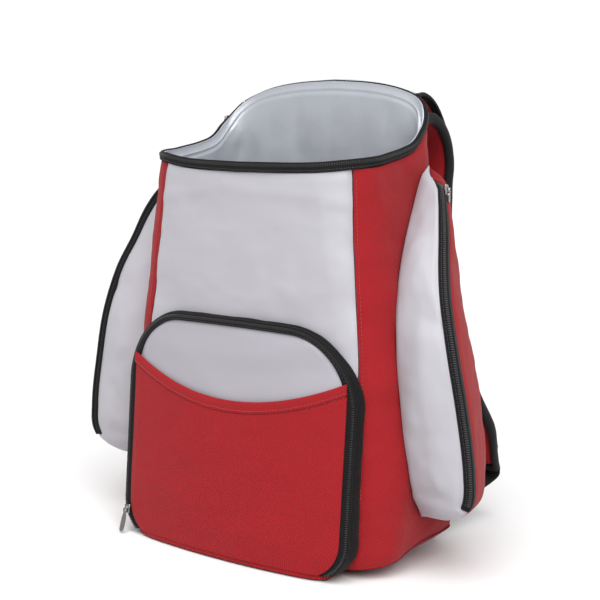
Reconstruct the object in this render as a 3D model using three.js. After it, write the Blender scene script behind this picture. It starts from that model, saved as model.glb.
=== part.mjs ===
// Insulated cooler backpack, standing on its base with the mouth open and the lid turned back.
// Millimetres, +Z up, front of the bag towards -Y, right side of the bag (seen from the front) towards +X.
import * as THREE from "three";

// Main compartment
const FRONT_RIM_RISE = 336;
const ARCH_RISE = 412;
const BODY_HALF_WIDTH = 151;
const FRONT_REACH = 64;
const BACK_REACH = 80;
const FRONT_BOW = 13;
const BACK_BOW = 4;
const FRONT_CORNER = 38;
const BACK_CORNER = 28;
const WALL = 5;
const LINING = 1.2;
const LINING_EASE = 2.4;
const BASE_THICKNESS = 3;
const BASE_SEAM_RISE = 4;
const BASE_BACK_LIFT = 12;
const BASE_FLAT_INSET = 16;
const GAP = 0.4;
const BASE_GAP = 0.8;

// Seams round the bag, as shares of half its girth from front centre to back centre
const FRONT_SEAM = 0.3;
const BACK_SEAM = 0.7;

// Mouth and lid
const TAPE_HEIGHT = 9;
const TAPE_THICKNESS = 2.2;
const TAPE_PROUD = 0.5;
const RIM_GAP = 1.2;
const LID_LENGTH = 194;
const LID_HALF_WIDTH = 90;
const LID_ARCH = 14;
const LID_THICKNESS = 3.5;
const LID_SAG = 9;
const LID_TAPE = 8;
const LID_DROP = 159;
const LID_STAND = 72;

// Front pocket
const POCKET_HALF_WIDTH = 124;
const POCKET_RISE = 206;
const POCKET_SHOULDER = 64;
const POCKET_CORNER = 24;
const POCKET_FOOT = 5;
const POCKET_CROWN = 5;
const POCKET_REACH_LOW = 84;
const POCKET_REACH_HIGH = 73;
const POCKET_BOW = 12;
const POCKET_TAPE = 10.5;
const CLOTH = 2;
const HEM_SIDE_RISE = 168;
const HEM_DIP = 27;
const HEM_WIDTH = 10;
const SLIP_INSET = 1;
const SLIP_FULLNESS = 4;
const SLIP_CLOTH = 1.6;
const HEM_PROUD = 0.6;
const POCKET_LIP = 1.5;

// Side pockets
const SIDE_POCKET_FOOT = 46;
const SIDE_POCKET_DROP = 12.8;
const SIDE_POCKET_TOP_GIRTH = 0.59;
const SIDE_POCKET_OUT = 62;
const SIDE_POCKET_LEAD = 38;
const SIDE_POCKET_REAR_FULLNESS = 20;
const SIDE_POCKET_FRONT_FULLNESS = 5;
const SIDE_ZIP_WIDTH = 16;
const SIDE_POCKET_CLOTH = 2;
const SIDE_POCKET_SEAT = 0.8;
const SIDE_POCKET_CLOSE = 24;

// Shoulder straps
const STRAP_WIDTH = 58;
const STRAP_THICKNESS = 9;
const STRAP_BINDING = 4;
const STRAP_SPACING = 71;
const STRAP_ROOT_DROP = 27;
const STRAP_END_RISE = 30;
const STRAP_STAND = 80;
const STRAP_SPREAD = 50;
const STRAP_SEAT = 1.9;
const STRAP_LENGTH = 400;
const WEBBING_WIDTH = 25;
const WEBBING_THICKNESS = 2;
const BUCKLE_WIDTH = 34;
const BUCKLE_HEIGHT = 26;
const BUCKLE_THICKNESS = 7;
const BUCKLE_SLOT = 5;
const BUCKLE_PLACE = 0.93;
const BINDING_PROUD = 0.5;
const WEBBING_TOP = 0.6;
const WEBBING_END = 0.89;
const WEBBING_SEAT = 1.6;
const WEBBING_DROOP = 9;
const WEBBING_ROOT_RISE = 20;
const CORNER_GIRTH = 0.77;

// Sliders
const SLIDER_LENGTH = 9;
const SLIDER_WIDTH = 7;
const SLIDER_THICKNESS = 4;
const SLIDER_SEAT = 0.9;
const PULLER_LENGTH = 24;
const PULLER_WIDTH = 5;
const PULLER_THICKNESS = 1.2;
const FRONT_SLIDER_RISE = 27;
const SIDE_SLIDER_PLACE = 0.9;
const SIDE_SLIDER_SEAT = 2.2;
const SIDE_PULLER_LENGTH = 12;
const MOUTH_SLIDER_GIRTH = 0.66;

// Sections of the bag: share of FRONT_RIM_RISE, shares of BODY_HALF_WIDTH, FRONT_REACH, BACK_REACH, FRONT_BOW and
// FRONT_CORNER, and the share of half the girth at which the front seam lies
const SECTIONS = [
  { rise: 0.0, wide: 0.94, front: 0.98, back: 0.86, bow: 0.75, corner: 0.75, seam: 0.24 },
  { rise: 0.07, wide: 0.972, front: 1.0, back: 0.93, bow: 0.8, corner: 0.8, seam: 0.24 },
  { rise: 0.2, wide: 0.993, front: 1.0, back: 0.99, bow: 0.8, corner: 0.9, seam: 0.242 },
  { rise: 0.3, wide: 0.985, front: 1.0, back: 1.0, bow: 0.85, corner: 0.97, seam: 0.246 },
  { rise: 0.55, wide: 0.915, front: 1.0, back: 0.98, bow: 0.9, corner: 1.0, seam: 0.26 },
  { rise: 0.8, wide: 0.83, front: 1.0, back: 0.94, bow: 1.0, corner: 1.0, seam: 0.28 },
  { rise: 1.0, wide: 0.765, front: 1.0, back: 0.9, bow: 1.0, corner: 1.0, seam: 0.297 },
  { rise: 1.25, wide: 0.74, front: 1.0, back: 0.87, bow: 1.0, corner: 1.0, seam: 0.3 },
];

// Rim of the bag: share of half the girth, then how far it climbs from the front rim to the top of the back arch
const RIM = [
  { girth: 0.0, climb: 0.0 },
  { girth: 0.2, climb: 0.02 },
  { girth: 0.32, climb: 0.08 },
  { girth: 0.42, climb: 0.14 },
  { girth: 0.52, climb: 0.21 },
  { girth: 0.59, climb: 0.3 },
  { girth: 0.65, climb: 0.5 },
  { girth: 0.7, climb: 0.73 },
  { girth: 0.77, climb: 0.88 },
  { girth: 0.87, climb: 0.965 },
  { girth: 1.0, climb: 1.0 },
];

// Side pocket by height: share of its height, share of SIDE_POCKET_OUT and SIDE_POCKET_LEAD at the ridge, front and back seams
const SIDE_POCKET = [
  { rise: 0.0, out: 0.1, lead: 0.1, seam: 0.46, rear: 0.65 },
  { rise: 0.03, out: 0.64, lead: 0.7, seam: 0.44, rear: 0.66 },
  { rise: 0.08, out: 0.94, lead: 0.9, seam: 0.41, rear: 0.68 },
  { rise: 0.18, out: 1.0, lead: 0.96, seam: 0.388, rear: 0.69 },
  { rise: 0.35, out: 1.0, lead: 1.0, seam: 0.38, rear: 0.69 },
  { rise: 0.5, out: 1.0, lead: 1.0, seam: 0.397, rear: 0.69 },
  { rise: 0.65, out: 0.94, lead: 0.8, seam: 0.44, rear: 0.69 },
  { rise: 0.75, out: 0.88, lead: 0.47, seam: 0.49, rear: 0.69 },
  { rise: 0.85, out: 0.82, lead: 0.14, seam: 0.54, rear: 0.69 },
  { rise: 0.92, out: 0.7, lead: -0.2, seam: 0.585, rear: 0.685 },
  { rise: 0.97, out: 0.4, lead: -0.8, seam: 0.62, rear: 0.675 },
  { rise: 1.0, out: 0.14, lead: -1.2, seam: 0.61, rear: 0.69 },
];

// Strap route: share of its length, of its fall, of STRAP_STAND behind its root and of STRAP_SPREAD outwards
const STRAP_ROUTE = [
  { along: 0.0, fall: 0.0, stand: 0.0, spread: 0.0 },
  { along: 0.04, fall: -0.004, stand: 0.2, spread: 0.0 },
  { along: 0.0875, fall: 0.02, stand: 0.41, spread: 0.0 },
  { along: 0.14, fall: 0.068, stand: 0.575, spread: 0.0 },
  { along: 0.1875, fall: 0.121, stand: 0.625, spread: 0.01 },
  { along: 0.24, fall: 0.18, stand: 0.585, spread: 0.03 },
  { along: 0.3675, fall: 0.324, stand: 0.5, spread: 0.13 },
  { along: 0.4925, fall: 0.465, stand: 0.46, spread: 0.3 },
  { along: 0.645, fall: 0.634, stand: 0.46, spread: 0.55 },
  { along: 0.75, fall: 0.746, stand: 0.525, spread: 0.72 },
  { along: 0.8625, fall: 0.859, stand: 0.72, spread: 0.88 },
  { along: 0.96, fall: 0.96, stand: 0.92, spread: 0.98 },
  { along: 1.0, fall: 1.0, stand: 1.0, spread: 1.0 },
];

// Lid turned back: share of its length, of LID_STAND behind the hinge, of LID_DROP below it and of LID_HALF_WIDTH
const LID = [
  { along: 0.0, stand: 0.0, drop: 0.0, wide: 1.0 },
  { along: 0.07, stand: 0.17, drop: -0.006, wide: 1.0 },
  { along: 0.18, stand: 0.43, drop: 0.045, wide: 1.0 },
  { along: 0.315, stand: 0.7, drop: 0.16, wide: 0.99 },
  { along: 0.453, stand: 0.89, drop: 0.3, wide: 0.98 },
  { along: 0.586, stand: 0.98, drop: 0.46, wide: 0.97 },
  { along: 0.714, stand: 1.0, drop: 0.632, wide: 0.96 },
  { along: 0.86, stand: 1.0, drop: 0.82, wide: 0.87 },
  { along: 0.95, stand: 0.975, drop: 0.94, wide: 0.68 },
  { along: 1.0, stand: 0.965, drop: 1.0, wide: 0.48 },
];

const COLOUR = {
  red: 0xa92b30,
  grey: 0xc8c6cb,
  black: 0x211f22,
  lining: 0xb9bcc2,
  metal: 0xc9c9cc,
};

const bag = new THREE.Group();

function material(colour, roughness = 0.85, metalness = 0) {
  return new THREE.MeshStandardMaterial({ color: COLOUR[colour], roughness, metalness });
}

function clamp01(value) {
  return Math.min(1, Math.max(0, value));
}

// Smooth reading of one column of a table at a place along its key column.
function read(rows, key, at, column) {
  const last = rows.length - 1;
  let i = 0;
  while (i < last - 1 && rows[i + 1][key] < at) i += 1;
  const slope = (k) => {
    const a = rows[Math.max(0, k - 1)];
    const b = rows[Math.min(last, k + 1)];
    return (b[column] - a[column]) / (b[key] - a[key]);
  };
  const span = rows[i + 1][key] - rows[i][key];
  const t = clamp01((at - rows[i][key]) / span);
  const rest = 1 - t;
  return (
    rows[i][column] * (1 + 2 * t) * rest * rest +
    rows[i + 1][column] * (3 - 2 * t) * t * t +
    slope(i) * span * t * rest * rest -
    slope(i + 1) * span * t * t * rest
  );
}

function signedVolume(points, faces) {
  let six = 0;
  for (const [a, b, c] of faces) six += points[a].dot(points[b].clone().cross(points[c]));
  return six / 6;
}

// A closed mesh from points and triangles, turned so that its faces point out.
function solid(points, faces) {
  const flip = signedVolume(points, faces) < 0;
  const index = [];
  for (const [a, b, c] of faces) index.push(a, flip ? c : b, flip ? b : c);
  const geometry = new THREE.BufferGeometry();
  geometry.setAttribute("position", new THREE.Float32BufferAttribute(points.flatMap((p) => p.toArray()), 3));
  geometry.setIndex(index);
  geometry.computeVertexNormals();
  return geometry;
}

function add(name, geometry, colour, roughness, metalness) {
  const mesh = new THREE.Mesh(geometry, material(colour, roughness, metalness));
  mesh.name = name;
  bag.add(mesh);
  return mesh;
}

// A wall between two sheets of points: outer(i, j) and inner(i, j), with i and j running from 0 to 1.
function wall(columns, rows, outer, inner) {
  const points = [];
  const faces = [];
  const wide = columns + 1;
  const sheet = wide * (rows + 1);
  for (const side of [outer, inner]) {
    for (let j = 0; j <= rows; j += 1) {
      for (let i = 0; i <= columns; i += 1) points.push(side(i / columns, j / rows));
    }
  }
  const quad = (a, b, c, d) => faces.push([a, b, c], [a, c, d]);
  for (let j = 0; j < rows; j += 1) {
    for (let i = 0; i < columns; i += 1) {
      const a = j * wide + i;
      quad(a, a + 1, a + 1 + wide, a + wide);
      quad(sheet + a, sheet + a + wide, sheet + a + 1 + wide, sheet + a + 1);
    }
  }
  for (let i = 0; i < columns; i += 1) {
    const top = rows * wide + i;
    quad(i + 1, i, sheet + i, sheet + i + 1);
    quad(top, top + 1, sheet + top + 1, sheet + top);
  }
  for (let j = 0; j < rows; j += 1) {
    const left = j * wide;
    const right = left + columns;
    quad(left, left + wide, sheet + left + wide, sheet + left);
    quad(right + wide, right, sheet + right, sheet + right + wide);
  }
  return solid(points, faces);
}

// A closed body through a row of closed rings, each with the same number of points, capped at both ends.
function stack(rings) {
  const count = rings[0].length;
  const points = rings.flat();
  const faces = [];
  for (let r = 0; r + 1 < rings.length; r += 1) {
    for (let k = 0; k < count; k += 1) {
      const a = r * count + k;
      const b = r * count + ((k + 1) % count);
      faces.push([a, b, b + count], [a, b + count, a + count]);
    }
  }
  for (const [first, turn] of [[0, false], [(rings.length - 1) * count, true]]) {
    const centre = new THREE.Vector3();
    for (let k = 0; k < count; k += 1) centre.addScaledVector(points[first + k], 1 / count);
    const hub = points.push(centre) - 1;
    for (let k = 0; k < count; k += 1) {
      const a = first + k;
      const b = first + ((k + 1) % count);
      faces.push(turn ? [a, b, hub] : [b, a, hub]);
    }
  }
  return solid(points, faces);
}

// A closed ring body: a section of a few points carried round a closed route.
function hoop(count, section) {
  const rings = [];
  for (let k = 0; k < count; k += 1) rings.push(section(k / count));
  const size = rings[0].length;
  const points = rings.flat();
  const faces = [];
  for (let k = 0; k < count; k += 1) {
    for (let s = 0; s < size; s += 1) {
      const a = k * size + s;
      const b = k * size + ((s + 1) % size);
      const c = ((k + 1) % count) * size + ((s + 1) % size);
      const d = ((k + 1) % count) * size + s;
      faces.push([a, b, c], [a, c, d]);
    }
  }
  return solid(points, faces);
}

// Sizes of the bag's section at a height
function section(z) {
  const at = z / FRONT_RIM_RISE;
  return {
    half: BODY_HALF_WIDTH * read(SECTIONS, "rise", at, "wide"),
    front: FRONT_REACH * read(SECTIONS, "rise", at, "front"),
    back: BACK_REACH * read(SECTIONS, "rise", at, "back"),
    bow: FRONT_BOW * read(SECTIONS, "rise", at, "bow"),
    corner: FRONT_CORNER * read(SECTIONS, "rise", at, "corner"),
    seam: read(SECTIONS, "rise", at, "seam"),
  };
}

// Shares of half the girth where the straight and round stretches of the outline meet
const OUTLINE = { frontEnd: 0.21, sideStart: 0.38, sideEnd: 0.63, backStart: 0.75 };

const SEAM_SLIT = 0.0012;

// Every wall of the bag has its edges at the same girths, so that nested walls stay clear of each other.
function spread(from, to, steps) {
  return Array.from({ length: steps + 1 }, (_, k) => THREE.MathUtils.lerp(from, to, k / steps));
}

const FRONT_GIRTHS = [
  ...spread(0, OUTLINE.frontEnd, 3),
  ...spread(OUTLINE.frontEnd, FRONT_SEAM, 2).slice(1),
];
const SIDE_GIRTHS = [
  ...spread(FRONT_SEAM, OUTLINE.sideStart, 2),
  ...spread(OUTLINE.sideStart, OUTLINE.sideEnd, 4).slice(1),
  ...spread(OUTLINE.sideEnd, BACK_SEAM, 2).slice(1),
];
const BACK_GIRTHS = [
  ...spread(BACK_SEAM, OUTLINE.backStart, 2),
  ...spread(OUTLINE.backStart, 1, 3).slice(1),
];
const HALF_GIRTHS = [...FRONT_GIRTHS, ...SIDE_GIRTHS.slice(1), ...BACK_GIRTHS.slice(1)];
const ROUND_GIRTHS = [...HALF_GIRTHS.map((g) => -g).reverse().slice(0, -1), ...HALF_GIRTHS.slice(0, -1)];

// Girths of a panel, with its two outer edges drawn back from their seams by half a slit
function panelGirths(girths) {
  const last = girths.length - 1;
  return girths.map((g, k) => {
    const inwards = k === 0 ? Math.sign(girths[1] - g) : k === last ? Math.sign(girths[last - 1] - g) : 0;
    return g + SEAM_SLIT * inwards;
  });
}

const FRONT_PANEL = panelGirths([...FRONT_GIRTHS.slice(1).map((g) => -g).reverse(), ...FRONT_GIRTHS]);
const SIDE_PANEL = panelGirths(SIDE_GIRTHS);
const BACK_PANEL = panelGirths([...BACK_GIRTHS, ...BACK_GIRTHS.slice(0, -1).map((g) => 2 - g).reverse()]);
const MOUTH_BAND = panelGirths([
  ...SIDE_GIRTHS.slice(1).map((g) => -g).reverse(),
  ...FRONT_GIRTHS.map((g) => -g).reverse(),
  ...FRONT_GIRTHS.slice(1),
  ...SIDE_GIRTHS.slice(1),
]);

function pick(list, share) {
  return list[Math.round(share * (list.length - 1))];
}

// A girth past the back centre is the same place as one on the other side.
function unwind(girth) {
  return girth > 1 ? girth - 2 : girth;
}

// The front seam wanders round the corner from its place at the rim, and the girths on either side follow it.
function shifted(girth, seam) {
  if (girth <= FRONT_SEAM) return (girth * seam) / FRONT_SEAM;
  if (girth >= OUTLINE.sideStart) return girth;
  return seam + ((girth - FRONT_SEAM) * (OUTLINE.sideStart - seam)) / (OUTLINE.sideStart - FRONT_SEAM);
}

// Point on the bag's wall: girth from 0 at front centre to 1 or -1 at back centre, depth measured inwards from the skin.
function skin(around, z, depth = 0) {
  const size = section(z);
  const girth = unwind(around);
  const side = girth < 0 ? -1 : 1;
  const g = shifted(Math.abs(girth), size.seam);
  const half = size.half - depth;
  const front = size.front - depth;
  const back = size.back - depth;
  const frontCorner = size.corner - depth;
  const backCorner = BACK_CORNER - depth;
  let x;
  let y;
  if (g <= OUTLINE.frontEnd) {
    x = ((half - frontCorner) * g) / OUTLINE.frontEnd;
    y = -front;
  } else if (g <= OUTLINE.sideStart) {
    const turn = ((g - OUTLINE.frontEnd) / (OUTLINE.sideStart - OUTLINE.frontEnd)) * (Math.PI / 2);
    x = half - frontCorner + frontCorner * Math.sin(turn);
    y = -front + frontCorner * (1 - Math.cos(turn));
  } else if (g <= OUTLINE.sideEnd) {
    const t = (g - OUTLINE.sideStart) / (OUTLINE.sideEnd - OUTLINE.sideStart);
    x = half;
    y = THREE.MathUtils.lerp(-front + frontCorner, back - backCorner, t);
  } else if (g <= OUTLINE.backStart) {
    const turn = ((g - OUTLINE.sideEnd) / (OUTLINE.backStart - OUTLINE.sideEnd)) * (Math.PI / 2);
    x = half - backCorner * (1 - Math.cos(turn));
    y = back - backCorner + backCorner * Math.sin(turn);
  } else {
    const t = (g - OUTLINE.backStart) / (1 - OUTLINE.backStart);
    x = (half - backCorner) * (1 - t);
    y = back;
  }
  const across = 1 - (x / half) ** 2;
  y += y < 0 ? -size.bow * across : BACK_BOW * across;
  return new THREE.Vector3(side * x, y, z);
}

function rimRise(girth) {
  return FRONT_RIM_RISE + (ARCH_RISE - FRONT_RIM_RISE) * read(RIM, "girth", Math.abs(unwind(girth)), "climb");
}

function seamRise(girth) {
  const back = THREE.MathUtils.smoothstep(Math.abs(unwind(girth)), OUTLINE.frontEnd, BACK_SEAM);
  return BASE_SEAM_RISE + BASE_BACK_LIFT * back;
}

const PANEL_ROWS = 12;

// Panel of the main compartment across a list of girths, from the base seam to the rim
function bodyPanel(name, colour, girths, side = 1) {
  const place = (depth) => (i, j) => {
    const girth = side * pick(girths, i);
    return skin(girth, THREE.MathUtils.lerp(seamRise(girth) + GAP, rimRise(girth), j), depth);
  };
  add(name, wall(girths.length - 1, PANEL_ROWS, place(0), place(WALL)), colour);
}

function mainCompartment() {
  bodyPanel("front_panel", "grey", FRONT_PANEL);
  bodyPanel("side_panel_left", "red", SIDE_PANEL, -1);
  bodyPanel("side_panel_right", "red", SIDE_PANEL);
  bodyPanel("back_panel", "red", BACK_PANEL);
}

function ring(depth, rise) {
  return ROUND_GIRTHS.map((girth) => skin(girth, rise(girth), depth));
}

// Ring on the wall part of the way up from the base seam to the rim
function wallRing(depth, share) {
  return ring(depth, (g) => THREE.MathUtils.lerp(seamRise(g), rimRise(g), share));
}

function basePanel() {
  const rings = [
    ring(BASE_FLAT_INSET, () => 0),
    ring(BASE_FLAT_INSET / 2, (g) => 0.1 * seamRise(g)),
    ring(1, (g) => seamRise(g) - BASE_THICKNESS),
    ring(0.5, seamRise),
    ring(WALL, seamRise),
    ring(BASE_FLAT_INSET / 2 + BASE_THICKNESS / 2, (g) => 0.1 * seamRise(g) + BASE_THICKNESS),
    ring(BASE_FLAT_INSET, () => BASE_THICKNESS),
  ];
  add("base_panel", stack(rings), "red");
}

function lining() {
  const outside = WALL + LINING_EASE;
  const inside = outside + LINING;
  const lipOut = TAPE_THICKNESS + GAP;
  const lipIn = lipOut + LINING;
  const tuck = 3;
  const lip = TAPE_HEIGHT - 1;
  const floor = BASE_THICKNESS + BASE_GAP;
  const shares = spread(0, 1, PANEL_ROWS / 2).slice(1, -1);
  const rings = [
    ring(BASE_FLAT_INSET, () => floor),
    ring(BASE_FLAT_INSET / 2 + BASE_THICKNESS / 2, (g) => 0.1 * seamRise(g) + floor),
    ring(outside, (g) => seamRise(g) + BASE_GAP),
    ...shares.map((share) => wallRing(outside, share)),
    ring(outside, (g) => rimRise(g) + RIM_GAP),
    ring(lipOut, (g) => rimRise(g) + RIM_GAP),
    ring(lipOut, (g) => rimRise(g) + lip),
    ring(lipIn, (g) => rimRise(g) + lip),
    ring(lipIn, (g) => rimRise(g) + RIM_GAP + LINING),
    ring(inside, (g) => rimRise(g) - tuck),
    ...shares.map((share) => wallRing(inside, share)).reverse(),
    ring(inside + LINING, (g) => seamRise(g) + BASE_GAP + LINING),
    ring(BASE_FLAT_INSET / 2 + BASE_THICKNESS, (g) => 0.1 * seamRise(g) + floor + LINING),
    ring(BASE_FLAT_INSET, () => floor + LINING),
  ];
  add("lining", stack(rings), "lining", 0.35);
}

// Band of tape that stands on the rim across a list of girths
function rimBand(name, girths, proud) {
  const place = (depth) => (i, j) => {
    const girth = pick(girths, i);
    return skin(girth, rimRise(girth) + THREE.MathUtils.lerp(RIM_GAP, TAPE_HEIGHT, j), depth);
  };
  add(name, wall(girths.length - 1, 1, place(-proud), place(TAPE_THICKNESS)), "black");
}

function mouth() {
  rimBand("mouth_zip", MOUTH_BAND, TAPE_PROUD);
  rimBand("hinge_binding", BACK_PANEL, TAPE_PROUD);
}

const lidHinge = skin(1, ARCH_RISE);

// Point on the lid: across from -1 to 1, along from the hinge at 0 to the far edge at 1, depth towards the bag
function lidPoint(across, along, depth = 0, inset = 0) {
  const reach = read(LID, "along", along, "stand") * LID_STAND;
  const fall = read(LID, "along", along, "drop") * LID_DROP;
  const half = read(LID, "along", along, "wide") * LID_HALF_WIDTH - inset;
  const step = 0.01;
  const before = Math.max(0, along - step);
  const after = Math.min(1, along + step);
  const dy = (read(LID, "along", after, "stand") - read(LID, "along", before, "stand")) * LID_STAND;
  const dz = (read(LID, "along", after, "drop") - read(LID, "along", before, "drop")) * LID_DROP;
  const long = Math.hypot(dy, dz);
  const sag = LID_SAG * THREE.MathUtils.smoothstep(along, 0.05, 0.4) * Math.cos((across * Math.PI) / 2) ** 2;
  const inwards = depth + sag;
  return new THREE.Vector3(
    across * half,
    lidHinge.y + TAPE_PROUD + GAP + reach - (dz / long) * inwards,
    lidHinge.z + TAPE_HEIGHT - fall - (dy / long) * inwards - LID_ARCH * across ** 2 * (1 - along),
  );
}

const LID_ROWS = 12;
const LID_COLUMNS = 10;

function lid() {
  const far = 1 - LID_TAPE / LID_LENGTH;
  const rows = spread(0, far, LID_ROWS);
  const sheet = (depth) => (i, j) => lidPoint(2 * i - 1, pick(rows, j), depth, LID_TAPE + GAP);
  const under = LINING + GAP;
  add("lid_lining", wall(LID_COLUMNS, LID_ROWS, sheet(0), sheet(LINING)), "lining", 0.35);
  add("lid_panel", wall(LID_COLUMNS, LID_ROWS, sheet(under), sheet(under + LID_THICKNESS)), "red");
  lidTape(rows);
}

// The lid's half of the zip: a band down one side, round the far edge and up the other side
function lidTape(rows) {
  const far = rows[rows.length - 1];
  const corner = { inner: far + GAP / LID_LENGTH, outer: 1 };
  const side = (across) => rows.map((along) => ({ across, inner: along, outer: along }));
  const across = spread(-1, 1, LID_COLUMNS).map((u) => ({ across: u, ...corner }));
  const route = [...side(-1), ...across, ...side(1).reverse()];
  const sheet = (depth) => (i, j) => {
    const stop = pick(route, i);
    return lidPoint(stop.across, j > 0.5 ? stop.inner : stop.outer, depth, j > 0.5 ? LID_TAPE : 0);
  };
  add("lid_zip", wall(route.length - 1, 1, sheet(0), sheet(TAPE_THICKNESS)), "black");
}

// Front of the main compartment at a place across and up
function frontFace(x, z) {
  const size = section(z);
  const past = THREE.MathUtils.clamp(Math.abs(x) - (size.half - size.corner), 0, size.corner);
  const round = size.corner - Math.sqrt(size.corner ** 2 - past ** 2);
  return -size.front + round - size.bow * (1 - (x / size.half) ** 2);
}

function pocketFace(x, z) {
  const reach = THREE.MathUtils.lerp(POCKET_REACH_LOW, POCKET_REACH_HIGH, z / POCKET_RISE);
  return -reach - POCKET_BOW * (1 - (x / POCKET_HALF_WIDTH) ** 2);
}

// The pocket's outline and its cloth share the same stations: round the bottom corner, up the side, round the shoulder.
const POCKET_CORNER_STEPS = 3;
const POCKET_SIDE_STEPS = 4;
const POCKET_ARC_STEPS = 6;
const POCKET_TOP_STEPS = 3;
const POCKET_CORNER_START = 0.45;

// Point of the pocket's half outline, drawn in by inset: station from 0 at the foot to its last at the top centre
function halfOutline(station, inset) {
  const straight = POCKET_RISE - POCKET_SHOULDER;
  const radius = POCKET_SHOULDER - inset;
  const half = POCKET_HALF_WIDTH - inset;
  const sideFoot = POCKET_FOOT + POCKET_CORNER * Math.cos(POCKET_CORNER_START);
  if (station <= POCKET_CORNER_STEPS) {
    const turn = THREE.MathUtils.lerp(POCKET_CORNER_START, Math.PI / 2, station / POCKET_CORNER_STEPS);
    return { x: half - POCKET_CORNER * (1 - Math.sin(turn)), z: sideFoot - POCKET_CORNER * Math.cos(turn) };
  }
  const up = station - POCKET_CORNER_STEPS;
  if (up <= POCKET_SIDE_STEPS) {
    return { x: half, z: THREE.MathUtils.lerp(sideFoot, straight, up / POCKET_SIDE_STEPS) };
  }
  const past = up - POCKET_SIDE_STEPS;
  if (past <= POCKET_ARC_STEPS) {
    const turn = (past / POCKET_ARC_STEPS) * (Math.PI / 2);
    return { x: half - radius * (1 - Math.cos(turn)), z: straight + radius * Math.sin(turn) };
  }
  const left = 1 - (past - POCKET_ARC_STEPS) / POCKET_TOP_STEPS;
  return { x: (half - radius) * left, z: straight + radius };
}

// Half width of the pocket at a height near its foot, drawn in by inset
function footHalf(z, inset) {
  const drop = clamp01(Math.cos(POCKET_CORNER_START) - (z - POCKET_FOOT) / POCKET_CORNER);
  return POCKET_HALF_WIDTH - inset - POCKET_CORNER * (1 - Math.sqrt(1 - drop ** 2));
}

const HALF_STATIONS = POCKET_CORNER_STEPS + POCKET_SIDE_STEPS + POCKET_ARC_STEPS + POCKET_TOP_STEPS;

// Point of the whole outline, share from 0 at the left foot to 1 at the right foot
function outlinePoint(share, inset) {
  const station = Math.round(share * 2 * HALF_STATIONS);
  const left = station <= HALF_STATIONS;
  const point = halfOutline(left ? station : 2 * HALF_STATIONS - station, inset);
  return { x: left ? -point.x : point.x, z: point.z };
}

// The pocket's top is crowned: the middle stands higher than the sides.
function crowned(x, y, z) {
  const lift = POCKET_CROWN * (1 - (x / POCKET_HALF_WIDTH) ** 2) * (z / POCKET_RISE) ** 2;
  return new THREE.Vector3(x, y, z + lift);
}

function hemRise(x, half) {
  return HEM_SIDE_RISE - HEM_DIP * (1 - (x / half) ** 2);
}

function frontPocket() {
  const stations = 2 * HALF_STATIONS;
  const gusset = (inset) => (i, j) => {
    const { x, z } = outlinePoint(i, inset);
    return crowned(x, THREE.MathUtils.lerp(frontFace(x, z) - GAP, pocketFace(x, z) + CLOTH + GAP, j), z);
  };
  add("front_pocket_gusset", wall(stations, 1, gusset(0), gusset(CLOTH)), "black");
  const tape = (back) => (i, j) => {
    const { x, z } = outlinePoint(i, j * POCKET_TAPE);
    return crowned(x, pocketFace(x, z) + back, z);
  };
  add("front_pocket_zip", wall(stations, 1, tape(0), tape(CLOTH)), "black");
  const rows = HALF_STATIONS - POCKET_TOP_STEPS;
  const inset = POCKET_TAPE + GAP;
  const cloth = (back) => (i, j) => {
    const { x: half, z } = halfOutline(Math.round(j * rows), inset);
    const x = half * (2 * i - 1);
    return crowned(x, pocketFace(x, z) + back, z);
  };
  add("front_pocket_panel", wall(12, rows, cloth(0), cloth(CLOTH)), "grey");
  slipPocket(inset);
  const strip = (rise) => (i, j) => {
    const x = footHalf(POCKET_FOOT, 0) * (2 * i - 1);
    const lip = pocketFace(x, POCKET_FOOT) - POCKET_LIP;
    return new THREE.Vector3(x, THREE.MathUtils.lerp(frontFace(x, POCKET_FOOT) - GAP, lip, j), rise);
  };
  add("front_pocket_base", wall(14, 1, strip(POCKET_FOOT - GAP), strip(POCKET_FOOT - GAP - CLOTH)), "red");
}

function slipPocket(inset) {
  const half = POCKET_HALF_WIDTH - inset - SLIP_INSET;
  const place = (from, to, back) => (i, j) => {
    const level = half * (2 * i - 1);
    const z = THREE.MathUtils.lerp(from(level), to(level), j);
    const x = footHalf(z, inset + SLIP_INSET) * (2 * i - 1);
    const upwards = Math.sin(Math.PI * clamp01(z / HEM_SIDE_RISE)) ** 0.7;
    const fullness = SLIP_FULLNESS * Math.cos((i - 0.5) * Math.PI) * upwards;
    return new THREE.Vector3(x, pocketFace(x, z) - GAP - SLIP_CLOTH - fullness + back, z);
  };
  const foot = () => POCKET_FOOT;
  const hemFoot = (x) => hemRise(x, half) - HEM_WIDTH;
  const hemTop = (x) => hemRise(x, half);
  const below = (x) => hemFoot(x) - GAP;
  add("slip_pocket", wall(12, 6, place(foot, below, 0), place(foot, below, SLIP_CLOTH)), "red");
  const hem = wall(12, 1, place(hemFoot, hemTop, -HEM_PROUD), place(hemFoot, hemTop, SLIP_CLOTH));
  add("slip_pocket_hem", hem, "red");
}

// Heights of the side pocket's rows, closer together where its foot and top turn in
const SIDE_ROWS = [
  0, 0.014, 0.032, 0.055, 0.09, 0.14, 0.22, 0.32, 0.42, 0.52, 0.62, 0.72, 0.8, 0.87, 0.93, 0.97, 1,
];

const sidePocketTop = rimRise(SIDE_POCKET_TOP_GIRTH) - SIDE_POCKET_DROP;

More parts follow.
